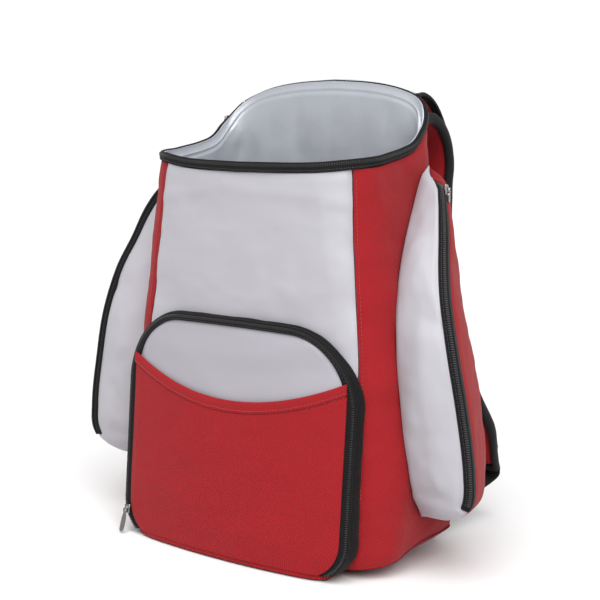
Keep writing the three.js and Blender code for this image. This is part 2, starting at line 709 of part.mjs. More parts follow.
function sidePocketShape(side) {
  const outwards = (from, to, amount) => {
    const along = to.clone().sub(from);
    const flat = new THREE.Vector3(along.y, -along.x, 0).normalize();
    return flat.multiplyScalar(amount);
  };
  const edges = (v) => {
    const z = THREE.MathUtils.lerp(SIDE_POCKET_FOOT, sidePocketTop, v);
    const out = read(SIDE_POCKET, "rise", v, "out");
    const seam = skin(read(SIDE_POCKET, "rise", v, "seam"), z, -SIDE_POCKET_SEAT);
    const rear = skin(read(SIDE_POCKET, "rise", v, "rear"), z, -SIDE_POCKET_SEAT);
    const lead = read(SIDE_POCKET, "rise", v, "lead") * SIDE_POCKET_LEAD;
    const ridge = new THREE.Vector3(section(z).half + SIDE_POCKET_SEAT + out * SIDE_POCKET_OUT, -lead, z);
    return { seam, ridge, rear, out };
  };
  const surface = (v, w) => {
    const { seam, ridge, rear, out } = edges(v);
    const ahead = w < 0.5;
    const t = ahead ? w * 2 : w * 2 - 1;
    const from = ahead ? seam : ridge;
    const to = ahead ? ridge : rear;
    const fullness = ahead ? SIDE_POCKET_FRONT_FULLNESS : SIDE_POCKET_REAR_FULLNESS;
    const point = from.clone().lerp(to, t);
    return point.add(outwards(from, to, fullness * out * Math.sin(Math.PI * t)));
  };
  const inner = (v, w) => {
    const { seam, rear } = edges(v);
    const core = seam.clone().lerp(rear, 0.5);
    core.x += 4 * SIDE_POCKET_SEAT;
    const lowest = SIDE_POCKET_FOOT + SIDE_POCKET_CLOSE;
    const highest = sidePocketTop - SIDE_POCKET_CLOSE;
    core.z = THREE.MathUtils.clamp(core.z, lowest, highest);
    const point = surface(v, w);
    return point.clone().add(core.sub(point).setLength(SIDE_POCKET_CLOTH));
  };
  // Shares across at which the zip band starts and ends
  const band = (v) => {
    const { seam, ridge, rear, out } = edges(v);
    const half = (SIDE_ZIP_WIDTH / 2) * clamp01(0.5 + out);
    const reach = (length) => Math.min(0.32, (0.5 * half) / length);
    return { start: 0.5 - reach(seam.distanceTo(ridge)), end: 0.5 + reach(rear.distanceTo(ridge)) };
  };
  const slit = (v) => GAP / (1.6 * edges(v).seam.distanceTo(edges(v).ridge));
  const mirror = (point) => new THREE.Vector3(side * point.x, point.y, point.z);
  const patch = (columns, from, to) => {
    const place = (sheet) => (i, j) => {
      const v = pick(SIDE_ROWS, j);
      return mirror(sheet(v, THREE.MathUtils.lerp(from(v), to(v), i)));
    };
    return wall(columns, SIDE_ROWS.length - 1, place(surface), place(inner));
  };
  return { patch, band, slit, surface };
}

function sidePocket(side, name) {
  const { patch, band, slit } = sidePocketShape(side);
  add("side_pocket_panel_" + name, patch(4, () => 0, (v) => band(v).start - slit(v)), "grey");
  const zip = patch(2, (v) => band(v).start + slit(v), (v) => band(v).end - slit(v));
  add("side_pocket_zip_" + name, zip, "black");
  add("side_pocket_rear_" + name, patch(5, (v) => band(v).end + slit(v), () => 1), "red");
}

const strapRootRise = ARCH_RISE - STRAP_ROOT_DROP;

function strapCentre(side, along) {
  const size = section(strapRootRise);
  const back = size.back + BACK_BOW * (1 - (STRAP_SPACING / size.half) ** 2);
  return new THREE.Vector3(
    side * (STRAP_SPACING + STRAP_SPREAD * read(STRAP_ROUTE, "along", along, "spread")),
    back + STRAP_SEAT + STRAP_STAND * read(STRAP_ROUTE, "along", along, "stand"),
    THREE.MathUtils.lerp(strapRootRise, STRAP_END_RISE, read(STRAP_ROUTE, "along", along, "fall")),
  );
}

// Point of a strap: across its width, share along it and height over its middle layer, away from the bag
function strapPoint(side, across, along, over) {
  const step = 0.004;
  const before = strapCentre(side, Math.max(0, along - step));
  const after = strapCentre(side, Math.min(1, along + step));
  const fall = after.sub(before).normalize();
  const outwards = new THREE.Vector3(0, -fall.z, fall.y).normalize();
  return strapCentre(side, along).add(new THREE.Vector3(across, 0, 0)).addScaledVector(outwards, over);
}

const STRAP_STATIONS = [
  ...spread(0, 0.36, 12),
  ...spread(0.36, 0.76, 6).slice(1),
  ...spread(0.76, 1, 6).slice(1),
];

function ribbon(columns, stations, point) {
  const sheet = (over) => (i, j) => point(2 * i - 1, pick(stations, j), over);
  return wall(columns, stations.length - 1, sheet(1), sheet(-1));
}

function shoulderStrap(side, name) {
  const padHalf = STRAP_WIDTH / 2 - STRAP_BINDING;
  const endInset = STRAP_BINDING / STRAP_LENGTH;
  const padStations = STRAP_STATIONS.map((s) => THREE.MathUtils.lerp(endInset, 1 - endInset, s));
  const pad = (u, s, over) => strapPoint(side, u * padHalf, s, (over * STRAP_THICKNESS) / 2);
  add("strap_pad_" + name, ribbon(4, padStations, pad), "red");
  add("strap_binding_" + name, strapBinding(side, padHalf + GAP, endInset - GAP / STRAP_LENGTH), "black", 0.7);
  const webbingStations = padStations.filter((s) => s > WEBBING_TOP && s < WEBBING_END);
  const webbingMiddle = STRAP_THICKNESS / 2 + GAP + WEBBING_THICKNESS / 2;
  const webbing = (u, s, over) =>
    strapPoint(side, (u * WEBBING_WIDTH) / 2, s, webbingMiddle + (over * WEBBING_THICKNESS) / 2);
  add("strap_webbing_" + name, ribbon(1, webbingStations, webbing), "black");
  buckle(side, name);
  lowerWebbing(side, name);
}

// Binding carried round the pad's four edges
function strapBinding(side, padHalf, endInset) {
  const outerHalf = STRAP_WIDTH / 2;
  const half = STRAP_THICKNESS / 2 + BINDING_PROUD;
  const corners = [
    { u: -1, stations: STRAP_STATIONS },
    { u: 1, stations: [...STRAP_STATIONS].reverse() },
  ];
  const route = [];
  for (const { u, stations } of corners) {
    for (const s of stations) route.push({ u, s });
    const last = stations[stations.length - 1];
    for (const share of [0.5, 0, -0.5]) route.push({ u: u * share, s: last });
  }
  return hoop(route.length, (share) => {
    const { u, s } = route[Math.round(share * route.length)];
    const inside = THREE.MathUtils.lerp(endInset, 1 - endInset, s);
    return [
      strapPoint(side, u * padHalf, inside, half),
      strapPoint(side, u * outerHalf, s, half),
      strapPoint(side, u * outerHalf, s, -half),
      strapPoint(side, u * padHalf, inside, -half),
    ];
  });
}

// Frame that stands a shape, drawn in the strap's plane, on the strap at a place along it
function onStrap(side, along, over) {
  const origin = strapPoint(side, 0, along, over);
  const up = strapPoint(side, 0, along - 0.01, over).sub(origin).normalize();
  const across = new THREE.Vector3(-1, 0, 0);
  return new THREE.Matrix4().makeBasis(across, up, new THREE.Vector3().crossVectors(across, up)).setPosition(origin);
}

function rectangle(path, width, height, midY = 0) {
  path.moveTo(-width / 2, midY - height / 2);
  path.lineTo(width / 2, midY - height / 2);
  path.lineTo(width / 2, midY + height / 2);
  path.lineTo(-width / 2, midY + height / 2);
  path.closePath();
  return path;
}

// Ladder lock: a frame with two slots for the webbing
function buckle(side, name) {
  const shape = rectangle(new THREE.Shape(), BUCKLE_WIDTH, BUCKLE_HEIGHT);
  for (const share of [-0.22, 0.22]) {
    shape.holes.push(rectangle(new THREE.Path(), WEBBING_WIDTH + 1, BUCKLE_SLOT, share * BUCKLE_HEIGHT));
  }
  const geometry = new THREE.ExtrudeGeometry(shape, { depth: BUCKLE_THICKNESS, bevelEnabled: false });
  const over = STRAP_THICKNESS / 2 + BINDING_PROUD + GAP;
  geometry.applyMatrix4(onStrap(side, BUCKLE_PLACE, over));
  add("strap_buckle_" + name, geometry, "black", 0.4);
}

function lowerWebbing(side, name) {
  const over = STRAP_THICKNESS / 2 + BINDING_PROUD + GAP + BUCKLE_THICKNESS / 2;
  const start = new THREE.Vector3(0, -BUCKLE_HEIGHT / 2 - GAP, 0).applyMatrix4(onStrap(side, BUCKLE_PLACE, over));
  const end = onStrap(side, 1, 0);
  const below = (drop, away) => new THREE.Vector3(0, -drop, away).applyMatrix4(end);
  const root = skin(side * CORNER_GIRTH, WEBBING_ROOT_RISE, -WEBBING_SEAT);
  const points = [
    start,
    below(0, over),
    below(WEBBING_DROOP * 0.8, over * 0.8),
    below(WEBBING_DROOP, -over * 0.5),
    root.clone().lerp(below(WEBBING_DROOP, -over), 0.4),
    root,
  ];
  const curve = new THREE.CatmullRomCurve3(points, false, "centripetal");
  const stations = spread(0, 1, 14);
  const geometry = ribbon(1, stations, (u, s, layer) => {
    const across = new THREE.Vector3(1, 0, 0);
    const normal = new THREE.Vector3().crossVectors(across, curve.getTangentAt(s)).normalize();
    const place = curve.getPointAt(s).addScaledVector(across, (u * WEBBING_WIDTH) / 2);
    return place.addScaledVector(normal, (layer * WEBBING_THICKNESS) / 2);
  });
  add("lower_webbing_" + name, geometry, "black");
}

function slider(name, place, outwards, down, pull) {
  const across = new THREE.Vector3().crossVectors(outwards, down).normalize();
  const up = down.clone().negate();
  const basis = new THREE.Matrix4().makeBasis(across, up, outwards.clone().normalize());
  const body = new THREE.BoxGeometry(SLIDER_WIDTH, SLIDER_LENGTH, SLIDER_THICKNESS);
  body.applyMatrix4(new THREE.Matrix4().makeTranslation(0, 0, SLIDER_THICKNESS / 2));
  body.applyMatrix4(basis.clone().setPosition(place));
  add(name + "_slider", body, "metal", 0.3, 1);
  const tab = new THREE.BoxGeometry(PULLER_WIDTH, pull, PULLER_THICKNESS);
  const drop = (SLIDER_LENGTH + pull) / 2 - SLIDER_LENGTH * 0.6;
  tab.applyMatrix4(new THREE.Matrix4().makeTranslation(0, -drop, SLIDER_THICKNESS + GAP + PULLER_THICKNESS / 2));
  tab.applyMatrix4(basis.clone().setPosition(place));
  add(name + "_puller", tab, "metal", 0.3, 1);
}

function sliders() {
  const down = new THREE.Vector3(0, 0, -1);
  const x = -POCKET_HALF_WIDTH + POCKET_TAPE / 2;
  const front = new THREE.Vector3(x, pocketFace(x, FRONT_SLIDER_RISE) - SLIDER_SEAT, FRONT_SLIDER_RISE);
  slider("front_pocket", front, new THREE.Vector3(0, -1, 0), down, PULLER_LENGTH);
  for (const [side, name] of [[-1, "left"], [1, "right"]]) {
    const { surface } = sidePocketShape(side);
    const ridge = surface(SIDE_SLIDER_PLACE, 0.5);
    const outwards = new THREE.Vector3(side * Math.SQRT1_2, -Math.SQRT1_2, 0);
    const place = new THREE.Vector3(side * ridge.x, ridge.y, ridge.z).addScaledVector(outwards, SIDE_SLIDER_SEAT);
    slider("side_pocket_" + name, place, outwards, down, SIDE_PULLER_LENGTH);
  }
  const girth = -MOUTH_SLIDER_GIRTH;
  const rise = rimRise(girth) + TAPE_HEIGHT / 2;
  const seat = skin(girth, rise, -TAPE_PROUD - GAP);
  slider("mouth", seat, seat.clone().sub(skin(girth, rise, 1)), down, PULLER_LENGTH);
}

function build() {
  mainCompartment();
  basePanel();
  lining();
  mouth();
  lid();
  frontPocket();
  for (const [side, name] of [[-1, "left"], [1, "right"]]) {
    sidePocket(side, name);
    shoulderStrap(side, name);
  }
  sliders();
  // The origin lies under the middle of the whole bag.
  const middle = new THREE.Box3().setFromObject(bag, true).getCenter(new THREE.Vector3());
  bag.position.set(-middle.x, -middle.y, 0);
}

build();

export default bag;
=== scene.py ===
import math

import bmesh
import bpy
import numpy as np
from mathutils import Matrix, Vector, noise


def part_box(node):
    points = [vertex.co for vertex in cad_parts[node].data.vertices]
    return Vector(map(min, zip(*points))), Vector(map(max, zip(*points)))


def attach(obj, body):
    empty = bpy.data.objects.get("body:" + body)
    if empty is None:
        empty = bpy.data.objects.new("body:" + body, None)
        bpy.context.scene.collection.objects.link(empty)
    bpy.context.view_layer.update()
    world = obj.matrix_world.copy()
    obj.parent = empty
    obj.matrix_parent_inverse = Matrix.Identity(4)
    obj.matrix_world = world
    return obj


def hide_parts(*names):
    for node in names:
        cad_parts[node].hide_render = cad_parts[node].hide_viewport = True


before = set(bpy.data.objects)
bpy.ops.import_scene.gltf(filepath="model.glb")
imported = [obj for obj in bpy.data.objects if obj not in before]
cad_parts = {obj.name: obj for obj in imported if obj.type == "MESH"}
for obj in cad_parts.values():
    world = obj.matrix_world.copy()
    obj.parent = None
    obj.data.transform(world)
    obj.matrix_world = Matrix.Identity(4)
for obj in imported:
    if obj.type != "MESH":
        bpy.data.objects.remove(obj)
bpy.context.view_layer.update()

# Sizes of the bag in millimetres. A few differ from the part's source, for the slump of the full bag.
FRONT_RIM_RISE = 336.0
ARCH_RISE = 412.0
BODY_HALF_WIDTH = 151.0
FRONT_REACH = 64.0
BACK_REACH = 80.0
FRONT_BOW = 13.0
BACK_BOW = 4.0
FRONT_CORNER = 38.0
BACK_CORNER = 28.0
WALL = 5.0
LINING = 1.2
LINING_EASE = 2.4
BASE_THICKNESS = 3.0
BASE_SEAM_RISE = 4.0
BASE_BACK_LIFT = 17.0
BASE_FLAT_INSET = 30.0
GAP = 0.4
BASE_GAP = 0.8
FRONT_SEAM = 0.3
LEFT_SEAM = 0.232
SEAM_TUCK = 0.018
SEAM_FOOT_TUCK = 0.03
# Shift of the bag's lower part towards +X, as it stands
LEAN = 4.5
BACK_SEAM = 0.7
TAPE_HEIGHT = 9.0
TAPE_THICKNESS = 2.2
TAPE_PROUD = 0.5
RIM_GAP = 1.2
LID_LENGTH = 194.0
LID_HALF_WIDTH = 90.0
LID_ARCH = 14.0
LID_THICKNESS = 3.5
LID_SAG = 9.0
LID_TAPE = 8.0
LID_DROP = 159.0
LID_STAND = 72.0
POCKET_HALF_WIDTH = 124.0
POCKET_RISE = 206.0
POCKET_SHOULDER = 64.0
POCKET_CORNER = 30.0
POCKET_CORNER_START = 0.45
POCKET_FOOT = 5.0
POCKET_CROWN = 5.0
POCKET_REACH_LOW = 84.0
POCKET_REACH_HIGH = 73.0
POCKET_BOW = 12.0
POCKET_TAPE = 10.5
CLOTH = 2.0
HEM_SIDE_RISE = 168.0
HEM_DIP = 27.0
HEM_WIDTH = 10.0
SLIP_INSET = -0.3
SLIP_FULLNESS = 4.0
SLIP_CLOTH = 1.6
HEM_PROUD = 0.6
POCKET_LIP = 1.5
SIDE_POCKET_FOOT = 46.0
SIDE_POCKET_TOP = 340.0
SIDE_POCKET_OUT = 62.0
SIDE_POCKET_LEAD = 38.0
SIDE_POCKET_REAR_FULLNESS = 16.0
SIDE_POCKET_FRONT_FULLNESS = 5.0
SIDE_ZIP_WIDTH = 16.0
SIDE_ZIP_FOOT = 0.08
SIDE_SEAM_LIFT = 15.0
SIDE_POCKET_CLOTH = 2.0
SIDE_POCKET_SEAT = 0.8
SIDE_POCKET_CLOSE = 24.0
STRAP_WIDTH = 58.0
STRAP_THICKNESS = 9.0
STRAP_SPACING = 71.0
STRAP_ROOT_RISE = 385.0
STRAP_END_RISE = 50.0
STRAP_STAND = 80.0
STRAP_SPREAD = 50.0
STRAP_SEAT = 1.9
STRAP_LENGTH = 400.0
WEBBING_WIDTH = 25.0
WEBBING_THICKNESS = 2.0
BUCKLE_WIDTH = 34.0
BUCKLE_HEIGHT = 26.0
BUCKLE_THICKNESS = 7.0
BUCKLE_PLACE = 0.93
BINDING_PROUD = 0.5
WEBBING_TOP = 0.6
WEBBING_END = 0.89
WEBBING_SEAT = 1.6
WEBBING_DROOP = 9.0
WEBBING_ROOT_RISE = 20.0
CORNER_GIRTH = 0.77
SLIDER_SEAT = 0.9
PULLER_LENGTH = 24.0
FRONT_SLIDER_RISE = 21.0
SIDE_SLIDER_PLACE = 0.955
SIDE_SLIDER_SEAT = 1.0
SIDE_PULLER_LENGTH = 12.0
MOUTH_SLIDER_GIRTH = 0.66

FRONT_END, SIDE_START, SIDE_END, BACK_START = 0.21, 0.38, 0.63, 0.75
SEAM_SLIT = 0.0012
HALF_GIRTH = 430.0

# Columns: rise, wide, front, back, bow, corner, seam
SECTIONS = np.array([
    (0.0, 0.94, 0.98, 0.86, 0.75, 0.75, 0.24),
    (0.07, 0.972, 1.0, 0.93, 0.8, 0.8, 0.24),
    (0.2, 0.993, 1.0, 0.99, 0.8, 0.9, 0.242),
    (0.3, 0.985, 1.0, 1.0, 0.85, 0.97, 0.246),
    (0.55, 0.915, 1.0, 0.98, 0.9, 1.0, 0.26),
    (0.8, 0.83, 1.0, 0.94, 1.0, 1.0, 0.28),
    (1.0, 0.765, 1.0, 0.9, 1.0, 1.0, 0.297),
    (1.25, 0.74, 1.0, 0.87, 1.0, 1.0, 0.3),
])
# Columns: girth, climb
RIM = np.array([
    (0.0, 0.0), (0.2, 0.02), (0.32, 0.08), (0.42, 0.14), (0.52, 0.21), (0.59, 0.3),
    (0.65, 0.5), (0.7, 0.73), (0.77, 0.88), (0.87, 0.965), (1.0, 1.0),
])
# Columns: rise, out, lead, seam, rear
SIDE_POCKET = np.array([
    (0.0, 0.1, 0.1, 0.45, 0.65), (0.03, 0.64, 0.7, 0.425, 0.66), (0.08, 0.94, 0.9, 0.385, 0.68),
    (0.18, 1.0, 0.96, 0.368, 0.69), (0.35, 0.97, 1.0, 0.36, 0.69), (0.5, 0.92, 1.0, 0.36, 0.69),
    (0.65, 0.84, 0.8, 0.378, 0.69), (0.75, 0.77, 0.47, 0.425, 0.69), (0.85, 0.72, 0.14, 0.495, 0.69),
    (0.92, 0.62, -0.2, 0.57, 0.69), (0.97, 0.44, -0.6, 0.63, 0.69), (1.0, 0.1, -1.1, 0.665, 0.69),
])
# Columns: along, fall, stand, spread
STRAP_ROUTE = np.array([
    (0.0, 0.0, 0.0, 0.0), (0.04, -0.004, 0.2, 0.0), (0.0875, 0.02, 0.41, 0.0), (0.14, 0.068, 0.575, 0.0),
    (0.1875, 0.121, 0.625, 0.01), (0.24, 0.18, 0.585, 0.03), (0.3675, 0.324, 0.5, 0.13),
    (0.4925, 0.465, 0.46, 0.3), (0.645, 0.634, 0.46, 0.55), (0.75, 0.746, 0.525, 0.72),
    (0.8625, 0.859, 0.8, 0.88), (0.96, 0.96, 1.04, 0.98), (1.0, 1.0, 1.13, 1.0),
])
# Columns: along, stand, drop, wide
LID = np.array([
    (0.0, 0.0, 0.0, 1.0), (0.07, 0.17, -0.006, 1.0), (0.18, 0.43, 0.045, 1.0), (0.315, 0.7, 0.16, 0.99),
    (0.453, 0.89, 0.3, 0.98), (0.586, 0.98, 0.46, 0.97), (0.714, 1.0, 0.632, 0.96), (0.86, 1.0, 0.82, 0.87),
    (0.95, 0.975, 0.94, 0.68), (1.0, 0.965, 1.0, 0.48),
])


def read(rows, at, column):
    """Smooth reading of a table's column at places along its first column."""
    at = np.asarray(at, float)
    key, value = rows[:, 0], rows[:, column]
    slope = np.empty_like(value)
    slope[1:-1] = (value[2:] - value[:-2]) / (key[2:] - key[:-2])
    slope[0] = (value[1] - value[0]) / (key[1] - key[0])
    slope[-1] = (value[-1] - value[-2]) / (key[-1] - key[-2])
    i = np.searchsorted(key[1:-1], at, side="left")
    span = key[i + 1] - key[i]
    t = np.clip((at - key[i]) / span, 0, 1)
    rest = 1 - t
    return (value[i] * (1 + 2 * t) * rest**2 + value[i + 1] * (3 - 2 * t) * t**2
            + slope[i] * span * t * rest**2 - slope[i + 1] * span * t**2 * rest)


def smooth(x, a, b):
    t = np.clip((np.asarray(x, float) - a) / (b - a), 0, 1)
    return t * t * (3 - 2 * t)


def lerp(a, b, t):
    return a + (b - a) * t


def unwind(girth):
    return np.where(girth > 1, girth - 2, girth)


def shifted(girth, seam):
    ahead = girth * seam / FRONT_SEAM
    corner = seam + (girth - FRONT_SEAM) * (SIDE_START - seam) / (SIDE_START - FRONT_SEAM)
    return np.where(girth <= FRONT_SEAM, ahead, np.where(girth >= SIDE_START, girth, corner))


def half_width(z):
    return BODY_HALF_WIDTH * read(SECTIONS, np.asarray(z) / FRONT_RIM_RISE, 1)


def skin(around, z, depth=0.0):
    """Points on the bag's wall: girth from 0 at front centre to 1 at back centre, depth measured inwards."""
    around, z, depth = np.broadcast_arrays(*(np.asarray(value, float) for value in (around, z, depth)))
    at = z / FRONT_RIM_RISE
    girth = unwind(around)
    side = np.where(girth < 0, -1.0, 1.0)
    seam = np.where(girth < 0, LEFT_SEAM, read(SECTIONS, at, 6) - SEAM_TUCK * (1 - smooth(z, 110, 190)))
    seam = seam - SEAM_FOOT_TUCK * (1 - smooth(z, 15, 75))
    g = shifted(np.abs(girth), seam)
    half = BODY_HALF_WIDTH * read(SECTIONS, at, 1) - depth
    front = FRONT_REACH * read(SECTIONS, at, 2) - depth
    back = BACK_REACH * read(SECTIONS, at, 3) - depth
    bow = FRONT_BOW * read(SECTIONS, at, 4)
    fc = FRONT_CORNER * read(SECTIONS, at, 5) - depth
    bc = BACK_CORNER - depth
    turn_f = (g - FRONT_END) / (SIDE_START - FRONT_END) * (np.pi / 2)
    turn_b = (g - SIDE_END) / (BACK_START - SIDE_END) * (np.pi / 2)
    t_side = (g - SIDE_START) / (SIDE_END - SIDE_START)
    t_back = (g - BACK_START) / (1 - BACK_START)
    zones = [g <= FRONT_END, g <= SIDE_START, g <= SIDE_END, g <= BACK_START]
    x = np.select(zones, [(half - fc) * g / FRONT_END, half - fc + fc * np.sin(turn_f), half,
                          half - bc * (1 - np.cos(turn_b))], (half - bc) * (1 - t_back))
    y = np.select(zones, [-front, -front + fc * (1 - np.cos(turn_f)), lerp(-front + fc, back - bc, t_side),
                          back - bc + bc * np.sin(turn_b)], back)
    across = 1 - (x / half) ** 2
    y = y + np.where(y < 0, -bow * across, BACK_BOW * across)
    return np.stack([side * x, y, z], -1)


def rim_rise(girth):
    return FRONT_RIM_RISE + (ARCH_RISE - FRONT_RIM_RISE) * read(RIM, np.abs(unwind(girth)), 1)


def seam_rise(girth):
    return BASE_SEAM_RISE + BASE_BACK_LIFT * smooth(np.abs(unwind(girth)), 0.24, 0.5)


# The part is centred on its own box, so the way back and forth comes from a piece whose place is known.
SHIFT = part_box("mouth_zip")[0][1] * 1000 + FRONT_REACH + FRONT_BOW + TAPE_PROUD


def metres(points):
    flat = np.array(points, float).reshape(-1, 3) + (0.0, SHIFT, 0.0)
    flat[:, 0] += LEAN * (1 - smooth(flat[:, 2], 130, 340))
    return flat * 0.001


def rough(points, size, octaves=3, seed=0.0):
    """Smooth noise between about -1 and 1 at points in millimetres; size is one length or three."""
    scale = np.broadcast_to(np.asarray(size, float), (3,))
    flat = np.asarray(points, float).reshape(-1, 3) / scale + seed
    values = [noise.fractal(Vector(p), 1.0, 2.0, octaves) for p in flat]
    return np.array(values).reshape(np.asarray(points).shape[:-1])


# Materials


def nodes_of(name, roughness, specular, sheen=0.0, metallic=0.0):
    mat = bpy.data.materials.new(name)
    mat.use_nodes = True
    tree = mat.node_tree
    shader = tree.nodes["Principled BSDF"]
    shader.inputs["Roughness"].default_value = roughness
    shader.inputs["Specular IOR Level"].default_value = specular
    shader.inputs["Metallic"].default_value = metallic
    shader.inputs["Sheen Weight"].default_value = sheen
    shader.inputs["Sheen Roughness"].default_value = 0.45
    return mat, tree, shader


def node(tree, kind, **settings):
    made = tree.nodes.new(kind)
    for key, value in settings.items():
        if key in made.inputs:
            made.inputs[key].default_value = value
        else:
            setattr(made, key, value)
    return made


def maths(tree, operation, a, b=None, c=None):
    made = tree.nodes.new("ShaderNodeMath")
    made.operation = operation
    for socket, value in zip(made.inputs, (a, b, c)):
        if value is None:
            continue
        if isinstance(value, (int, float)):
            socket.default_value = value
        else:
            tree.links.new(value, socket)
    return made.outputs[0]


def linear(rgb):
    out = []
    for c in rgb:
        c /= 255
        out.append(c / 12.92 if c <= 0.04045 else ((c + 0.055) / 1.055) ** 2.4)
    return (*out, 1.0)


def two_axes(tree, by_map):
    """Two lengths over the cloth in millimetres, from the mesh's own map or from the place in space."""
    coords = tree.nodes.new("ShaderNodeTexCoord")
    split = tree.nodes.new("ShaderNodeSeparateXYZ")
    if by_map:
        tree.links.new(coords.outputs["UV"], split.inputs[0])
        return [maths(tree, "MULTIPLY", split.outputs[axis], 100.0) for axis in (0, 1)]
    tree.links.new(coords.outputs["Object"], split.inputs[0])
    rise = maths(tree, "SUBTRACT", split.outputs[2], split.outputs[1])
    return maths(tree, "MULTIPLY", split.outputs[0], 1000.0), maths(tree, "MULTIPLY", rise, 1000.0)


def speckle(tree, scale, detail):
    """Noise over the place in space."""
    coords = tree.nodes.new("ShaderNodeTexCoord")
    made = node(tree, "ShaderNodeTexNoise", Scale=scale, Detail=detail)
    tree.links.new(coords.outputs["Object"], made.inputs["Vector"])
    return made.outputs["Fac"]


def finish_surface(tree, shader, colour, shade, height, strength, depth):
    """Colour times a shade, and a bump of the given depth in metres from a height."""
    tint = node(tree, "ShaderNodeMix", data_type="RGBA", blend_type="MULTIPLY")
    tint.inputs["Factor"].default_value = 1.0
    tint.inputs[6].default_value = linear(colour)
    tree.links.new(shade, tint.inputs[7])
    tree.links.new(tint.outputs[2], shader.inputs["Base Color"])
    bump = node(tree, "ShaderNodeBump", Strength=strength, Distance=depth)
    tree.links.new(height, bump.inputs["Height"])
    tree.links.new(bump.outputs[0], shader.inputs["Normal"])


def weave_height(tree, u, v, pitch):
    a = maths(tree, "SINE", maths(tree, "MULTIPLY", u, 2 * math.pi / pitch))
    b = maths(tree, "SINE", maths(tree, "MULTIPLY", v, 2 * math.pi / pitch))
    return maths(tree, "MULTIPLY_ADD", maths(tree, "MULTIPLY", a, b), 0.5, 0.5)


def cloth(name, colour, pitch, roughness, specular, sheen, contrast, depth, mottle, mottle_scale=30.0,
          by_map=True):
    """Woven cloth: a plain weave of the given pitch in millimetres, with slow changes of shade."""
    mat, tree, shader = nodes_of(name, roughness, specular, sheen)
    u, v = two_axes(tree, by_map)
    height = weave_height(tree, u, v, pitch)
    slow, fine = speckle(tree, mottle_scale, 4.0), speckle(tree, 900.0, 2.0)
    shade = maths(tree, "MULTIPLY_ADD", height, contrast, 1.0 - contrast * 0.5 - mottle * 0.75)
    patch = maths(tree, "MULTIPLY", slow, mottle)
    speck = maths(tree, "MULTIPLY", fine, mottle * 0.5)
    shade = maths(tree, "ADD", shade, maths(tree, "ADD", patch, speck))
    uneven = maths(tree, "ADD", height, maths(tree, "MULTIPLY", fine, 0.5))
    finish_surface(tree, shader, colour, shade, uneven, 0.7, depth)
    return mat


def ribbed(name, colour, pitch, roughness=0.75, along=False, depth=0.00018):
    """Tape or webbing with ribs across it."""
    mat, tree, shader = nodes_of(name, roughness, 0.2, 0.03)
    u, v = two_axes(tree, True)
    ribs = maths(tree, "SINE", maths(tree, "MULTIPLY", v if along else u, 2 * math.pi / pitch))
    cross = maths(tree, "SINE", maths(tree, "MULTIPLY", u if along else v, 2 * math.pi / (pitch * 0.6)))
    height = maths(tree, "ADD", ribs, maths(tree, "MULTIPLY", cross, 0.35))
    shade = maths(tree, "MULTIPLY_ADD", height, 0.07, 0.95)
    finish_surface(tree, shader, colour, shade, height, 0.6, depth)
    return mat


def mottled(name, colour, roughness, scale, amount, metallic=0.0, depth=0.00005):
    """Moulded plastic, film or metal: fine grain and slow changes of shade."""
    mat, tree, shader = nodes_of(name, roughness, 0.5, 0.0, metallic)
    grain = speckle(tree, scale, 5.0)
    shade = maths(tree, "MULTIPLY_ADD", grain, amount, 1.0 - amount * 0.5)
    finish_surface(tree, shader, colour, shade, grain, 0.5, depth)
    return mat


RED = (139, 20, 26)
GREY = (162, 160, 166)
# Darker copy of the grey cloth for the front pocket's face: painted shade standing in for the shading on that
# face
PAINTED_SHADE_GREY = (151, 148, 155)
BLACK = (12, 11, 13)

RED_WEAVE = dict(contrast=0.85, depth=0.00045, mottle=0.12, sheen=0.06, specular=0.2)
GREY_WEAVE = dict(contrast=0.03, depth=0.00003, sheen=0.1, mottle_scale=14.0)
red_cloth = cloth("red_cloth", RED, 2.2, 0.82, **RED_WEAVE)
red_pad = cloth("red_pad_cloth", RED, 2.2, 0.82, by_map=False, **RED_WEAVE)
grey_cloth = cloth("grey_cloth", GREY, 0.9, 0.5, specular=0.45, mottle=0.04, **GREY_WEAVE)
painted_shade_grey = cloth("painted_shade_grey_cloth", PAINTED_SHADE_GREY, 0.9, 0.55, specular=0.4, mottle=0.05, **GREY_WEAVE)
tape_cloth = ribbed("tape_cloth", BLACK, 1.6)
webbing_cloth = ribbed("webbing_cloth", (15, 14, 16), 2.2, along=True)
binding_cloth = ribbed("binding_cloth", (17, 16, 18), 1.8, along=True)
zip_teeth = mottled("zip_teeth", (25, 24, 26), 0.4, 900.0, 0.1)
lining_film = mottled("lining_film", (168, 171, 178), 0.34, 60.0, 0.12, metallic=0.25, depth=0.0009)
buckle_plastic = mottled("buckle_plastic", (24, 23, 25), 0.42, 700.0, 0.15)
slider_metal = mottled("slider_metal", (150, 148, 146), 0.3, 500.0, 0.12, metallic=1.0)
red_thread = mottled("red_thread", (158, 38, 44), 0.6, 3000.0, 0.3)
black_thread = mottled("black_thread", (46, 44, 47), 0.6, 3000.0, 0.3)


# Mesh makers

TOOTH_PITCH = 1.9
TOOTH_LENGTH = 1.15


def make(name, points, faces, material, uvs=None, sharp=50.0):
    mesh = bpy.data.meshes.new(name)
    mesh.from_pydata(metres(points).tolist(), [], faces)
    if uvs is not None:
        layer = mesh.uv_layers.new(name="UVMap")
        index = np.empty(len(mesh.loops), int)
        mesh.loops.foreach_get("vertex_index", index)
        layer.data.foreach_set("uv", (np.asarray(uvs, float)[index] * 0.01).ravel())
    bm = bmesh.new()
    bm.from_mesh(mesh)
    bmesh.ops.recalc_face_normals(bm, faces=bm.faces)
    bm.to_mesh(mesh)
    bm.free()
    mesh.shade_smooth()
    mesh.set_sharp_from_angle(angle=math.radians(sharp))
    mesh.materials.append(material)
    obj = bpy.data.objects.new(name, mesh)
    bpy.context.scene.collection.objects.link(obj)
    return obj


def dress(obj, slot, *replaced):
    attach(obj, "root")
    if replaced:
        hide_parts(*replaced)


